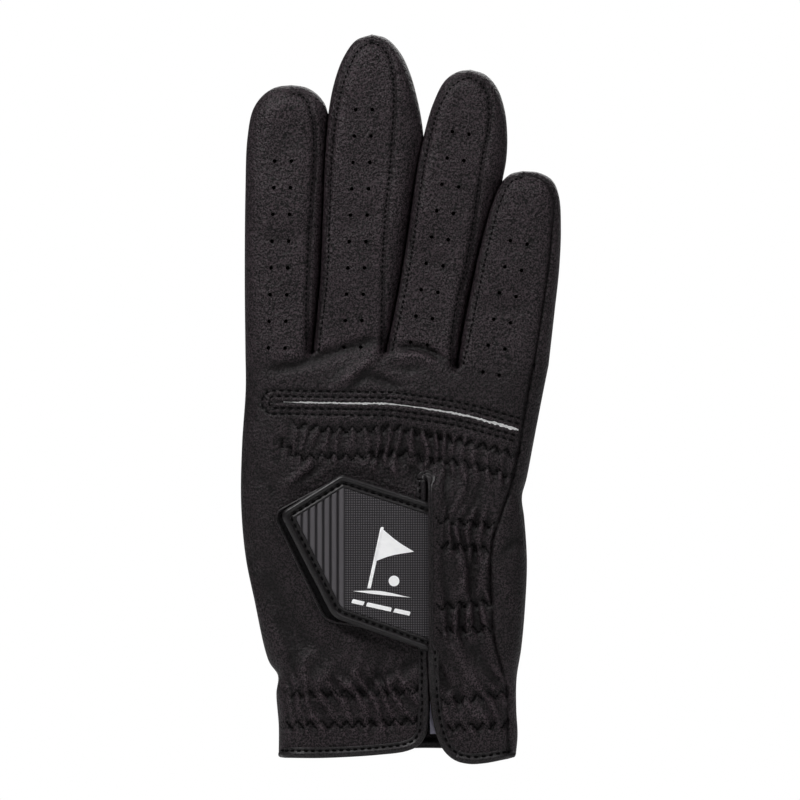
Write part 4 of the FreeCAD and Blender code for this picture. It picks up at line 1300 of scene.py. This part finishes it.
def build_finger(finger):
    """The back, the front, the two walls and the seam stitches of a finger."""
    build_finger_sheets(finger)
    build_finger_walls(finger)
    for side in ("seam_up", "seam_down"):
        if side not in FINGERS[finger]["plain"]:
            thread = thread_along(f"{finger}_stitches_{side[5:]}", seam_row(finger, side), "seam")
            on_finger(thread, finger, "thread")


# ---- the closure tab ----

TAB_TOP = 10.5
TAB_INNER = rounded(inset_chain(TAB_CORNERS, 3.6), (1.4, 1.2, 3.6))
TAB_MAP = distance_map(TAB_EDGE, 8)
ROLL_WIDE, ROLL_HIGH = 1.9, 1.2
# the thin inner roll: the middle of its width from the tab's edge, half its width and its height
INNER_ROLL, INNER_HALF, INNER_HIGH = 3.2, 0.42, 0.6
PANEL_RISE, RIB_DEEP = 0.42, 0.5
TAB_THICK, HOOKS_END = 0.36, 4
LOOP_CORNERS = [(7.2, 79.4), (-16.2, 86.4), (-36.7, 75.4), (-21.2, 43.4), (7.2, 39)]
LOOP_EDGE = rounded(LOOP_CORNERS, (3, 3, 5))
LOOP_THICK, PIPING = 0.55, 0.42


def tab_level(x):
    """The level of the tab's leather: it dips towards its root."""
    return TAB_TOP - 1.5 * ease((x - 1) / 9)


def tab_relief(x, z):
    """The rolled rim, the stitch channel, the thin inner roll and the ribbed panel."""
    edge = read_map(TAB_MAP, x, z)
    half = ROLL_WIDE / 2
    roll = ROLL_HIGH * np.sqrt(np.clip(1 - ((edge - half) / half) ** 2, 0, 1))
    relief = np.where(edge < ROLL_WIDE, -0.3 + roll, -0.2 + 0.2 * ease((edge - ROLL_WIDE) / 0.3))
    inner = INNER_HIGH * np.sqrt(np.clip(1 - ((edge - INNER_ROLL) / INNER_HALF) ** 2, 0, 1))
    relief = np.where(np.abs(edge - INNER_ROLL) < INNER_HALF, -0.05 + inner, relief)
    ridge = 0.5 + 0.5 * np.cos(2 * math.pi * (x - RIBS_END + RIB_PITCH / 2) / RIB_PITCH)
    ribs = RIB_DEEP * (ease(ridge * 1.9) - 1) * ease((RIBS_END - x) / 0.4)
    return np.where(edge >= INNER_ROLL + INNER_HALF, PANEL_RISE + ribs, relief)


def slab(name, region, level, thick, material, pitch=0.5):
    """A flat piece in front of the back: its outer face at the level that a function gives."""
    flat, faces = triangulate(region, (), pitch)
    return shell(name, lifted(flat, -level(flat[:, 0], flat[:, 1])), faces, material, thick)


def tab_face(x, z):
    """The outer face of the tab's rim and panel."""
    return tab_level(x) + tab_relief(x, z)


def build_tab():
    """The tab with its rolled rim, panel and hook pad."""
    rim = slab("tab_rim_roll", chain(TAB_EDGE, TAB_INNER[::-1]), tab_face, 0.35, ROLL_LEATHER, 0.28)
    on_tab(rim, "binding", "tab_rim")
    panel = slab("tab_panel_moulded", chain(TAB_INNER), tab_face, 0.4, PANEL, 0.3)
    on_tab(panel, "tab_panel", "tab_panel")
    base = slab("tab_leather_base", TAB_OUTLINE, lambda x, z: tab_level(x) - TAB_THICK, 0.5, EDGE_LEATHER,
                0.8)
    on_tab(base, "leather", "tab_leather")
    hook_edge = rounded(inset_chain(TAB_CORNERS, 2.6), (2, 2, 5))
    hook_edge = hook_edge[hook_edge[:, 0] < HOOKS_END]
    hooks = slab("hook_pad_pile", chain(hook_edge), lambda x, z: tab_level(x) - 0.9, 0.5, PILE, 0.6)
    on_tab(hooks, "hook_pile", "hook_pad")


def build_loop_pad():
    """The loop pad sewn to the back under the tab, with its stitches and piped edge."""
    pad = slab("loop_pad_pile", chain(LOOP_EDGE), lambda x, z: height(BACK, x, z) + LOOP_THICK, LOOP_THICK,
               PILE, 0.6)
    on_hand(pad, "loop_pile", "loop_pad")
    row, normals = on_surface(BACK, rounded(inset_chain(LOOP_CORNERS, 0.8), (2.5, 2.5, 4.5)), 0.6)
    on_hand(stitches("loop_pad_stitches", row, normals, "loop_pad"), "thread")
    row, normals = on_surface(BACK, LOOP_EDGE, 0.45)
    ring = [(PIPING * math.cos(turn), PIPING * math.sin(turn)) for turn in np.radians(np.arange(0, 360, 45))]
    on_hand(outward(make_object("loop_pad_edge", *tube_sweep(row, normals, ring), EDGE_LEATHER)), "leather")


def build_tab_root():
    """The strap that holds the tab under the little-finger flap, and the tab's stitches."""
    left, right, foot, head = 10.7, 20.6, 37, 75.6
    strap = chain(resample([(left, foot), (right, foot), (right, head), (left, head), (left, foot)], 0.8))
    anchor = slab("tab_anchor_strap", strap, lambda x, z: tab_level(x) - TAB_THICK - 0.24 * (x - left), 0.7,
                  EDGE_LEATHER, 0.9)
    on_hand(anchor, "leather", "tab_anchor")
    line = rounded(inset_chain(TAB_CORNERS, 2.35), (1.8, 1.6, 4.6))
    row = lifted(line, -(tab_level(line[:, 0]) + 0.14))
    on_tab(stitches("tab_stitches", row, np.tile([0.0, -1, 0], (len(row), 1)), "tab"), "thread")


EMBLEM_STEP, EMBLEM_THICK, BAR_HIGH, BAR_SLOPE = 0.5, 0.2, 1.2, -0.22


def emblem_shapes():
    """The closed outlines of the flag, its pole, the ball, the ground and the three bars."""
    pole = [(-8.6, 53.0), (-7.6, 53.0), (-3.6, 71.4), (-4.6, 71.4), (-8.6, 53.0)]
    head, foot, point = (-4.3, 71.0), (-6.5, 61.0), (5.4, 64.0)
    flag = np.vstack([resample([head, foot], EMBLEM_STEP), spline([foot, (-1.4, 62.8), point], EMBLEM_STEP),
                      spline([point, (0.6, 67.0), head], EMBLEM_STEP)])
    left, right = (-13, 52.2), (4.6, 50.2)
    ground = np.vstack([spline([left, (-6, 51.2), right], EMBLEM_STEP),
                        spline([right, (-5, 52.2), left], EMBLEM_STEP)])
    shapes = [resample(pole, EMBLEM_STEP), flag, circle(-0.6, 55.2, 1.6, 28), ground]
    for start, wide in ((-13.4, 3.6), (-9.0, 7.4), (-0.8, 4.8)):
        low = 48.6 + BAR_SLOPE * (start + 13.4)
        end, fall = start + wide, low + BAR_SLOPE * wide
        bar = [(start, low), (end, fall), (end + 0.4, fall + BAR_HIGH), (start + 0.4, low + BAR_HIGH),
               (start, low)]
        shapes.append(resample(bar, EMBLEM_STEP))
    return shapes


def build_emblem():
    """A plain golf flag with a ball, and three plain bars below it."""
    vertices, faces, start = [], [], 0
    for shape in emblem_shapes():
        flat, triangles = triangulate(chain(shape), (), EMBLEM_STEP)
        vertices.append(lifted(flat, -(tab_face(flat[:, 0], flat[:, 1]) + 0.16)))
        faces.append(triangles + start)
        start += len(flat)
    piece = shell("tab_emblem_flag", np.vstack(vertices), np.vstack(faces), EMBLEM, EMBLEM_THICK)
    on_tab(piece, "emblem", "tab_emblem")


# ---- the thumb ----

THUMB_AT, THUMB_LEAN = (-26.0, 55.0), math.radians(20)
THUMB_LINE = [(0, -16), (-10.6, -12), (-16, 0), (-14.8, 15), (-13.2, 30), (-11.4, 44), (-8, 53.6), (0, 58)]
THUMB_MIDDLE, THUMB_HALF = 12.75, 4.25
THUMB_HOLE = circle(*THUMB_AT, 9.5, 40)


def thumb_place(points):
    """Points along the thumb turned and moved to where it lies."""
    points = np.asarray(points, float)
    cos, sin = math.cos(THUMB_LEAN), math.sin(THUMB_LEAN)
    return np.stack([points[:, 0] * cos + points[:, 1] * sin + THUMB_AT[0],
                     -points[:, 0] * sin + points[:, 1] * cos + THUMB_AT[1]], 1)


def thumb_loop(inset):
    """The closed outline of the thumb, moved in by inset."""
    left = shifted(spline(THUMB_LINE), -inset)
    return thumb_place(chain(left, (left * [-1, 1])[::-1]))


THUMB_OUTLINE, THUMB_SEAM = thumb_loop(0), thumb_loop(2.2)
THUMB_RIM = np.vstack([THUMB_OUTLINE, THUMB_OUTLINE[:1]])
THUMB_MAP = distance_map(THUMB_RIM, 8)


def thumb_level(points):
    """How far the thumb's leather stands from the thumb's middle plane."""
    x, z = points[:, 0].copy(), points[:, 1].copy()
    edge = read_map(THUMB_MAP, x, z)
    close = edge < EXACT_WITHIN
    edge[close] = exact_distance(x[close], z[close], [THUMB_RIM])
    waves = 0.3 * read_map(DETAIL[PALM], x, z) * ease(edge / 3)
    return THUMB_HALF * cap(edge, 6.5) + waves


def on_thumb(piece, slot, *nodes):
    """A piece that swings with the thumb."""
    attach(piece, "thumb")
    return finish_piece(piece, nodes)


def build_thumb():
    """The thumb, folded flat behind the palm: an outer and an inner half and the wall between."""
    wall = []
    for side, half in ((1, "thumb_outer"), (-1, "thumb_inner")):
        holes = [] if side > 0 else [THUMB_HOLE]
        flat, faces = triangulate(THUMB_SEAM, holes, 0.7)
        turned = faces[:, ::-1] if side > 0 else faces
        piece = shell(f"{half}_skin", lifted(flat, THUMB_MIDDLE + side * thumb_level(flat)), turned, LEATHER)
        on_thumb(piece, "leather", half)
        flat, faces = triangulate(THUMB_OUTLINE, [THUMB_SEAM], 0.6, [THUMB_RIM])
        turned = faces[:, ::-1] if side > 0 else faces
        wall.append((lifted(flat, THUMB_MIDDLE + side * thumb_level(flat)), turned))
    on_thumb(shell("thumb_wall_skin", *joined(wall), LEATHER), "leather", "thumb_wall")
    row = thumb_loop(3.0)
    row = lifted(row, THUMB_MIDDLE + thumb_level(row))
    on_thumb(stitches("thumb_stitches", row, np.tile([0.0, 1, 0], (len(row), 1)), "thumb"), "thread")


# ---- camera, light and floor ----

VIEW_WIDE = 240 * MM
VIEW_CENTRE = (1.2 * MM, 109.5 * MM)


def look_at(thing, target):
    """Turn a light or camera towards a point."""
    thing.rotation_euler = (Vector(target) - thing.location).to_track_quat("-Z", "Y").to_euler()


def add_light(name, place, size, power):
    """A square soft light aimed at the glove."""
    light = bpy.data.lights.new(name, "AREA")
    light.size = size
    light.energy = power
    lamp = bpy.data.objects.new(name, light)
    lamp.location = place
    bpy.context.scene.collection.objects.link(lamp)
    look_at(lamp, (0, 0, VIEW_CENTRE[1]))


def build_camera():
    """A camera straight in front of the back of the hand."""
    camera = bpy.data.objects.new("camera", bpy.data.cameras.new("camera"))
    camera.data.type = "ORTHO"
    camera.data.ortho_scale = VIEW_WIDE
    camera.location = (VIEW_CENTRE[0], -0.8, VIEW_CENTRE[1])
    camera.rotation_euler = (math.radians(90), 0, 0)
    bpy.context.scene.collection.objects.link(camera)
    bpy.context.scene.camera = camera


def build_surroundings():
    """White surroundings: bright behind the glove and dim as a light on it."""
    world = bpy.data.worlds.new("white_surroundings")
    bpy.context.scene.world = world
    world.use_nodes = True
    nodes, links = world.node_tree.nodes, world.node_tree.links
    surroundings = nodes["Background"]
    surroundings.inputs["Color"].default_value = (1, 1, 1, 1)
    rays = nodes.new("ShaderNodeLightPath")
    strength = nodes.new("ShaderNodeMapRange")
    strength.inputs["To Min"].default_value = 0.1
    strength.inputs["To Max"].default_value = 1.0
    links.new(rays.outputs["Is Camera Ray"], strength.inputs["Value"])
    links.new(strength.outputs["Result"], surroundings.inputs["Strength"])


def build_stage():
    """The camera, the lights, the white surroundings and the floor."""
    build_camera()
    bpy.context.scene.view_settings.view_transform = "Standard"
    add_light("key_light", (-0.20, -0.21, 0.43), 0.14, 1.42)
    add_light("second_light", (0.20, -0.22, 0.43), 0.14, 0.42)
    add_light("fill_light", (0.5, -0.6, 0.45), 0.5, 0.35)
    add_light("back_light", (0.2, 0.9, 0.6), 0.7, 6)
    build_surroundings()
    paint = new_material("floor_white", (0.9, 0.9, 0.9), 0.7)
    half, level = 900, -0.6
    corners = [(-half, -half, level), (half, -half, level), (half, half, level), (-half, half, level)]
    floor = make_object("floor", corners, [(0, 1, 2, 3)], paint, False)


build_hand()
build_bands()
build_label()
build_bindings()
build_hand_stitches()
for finger_name in FINGERS:
    build_finger(finger_name)
build_tab()
build_loop_pad()
build_tab_root()
build_emblem()
build_thumb()
build_stage()
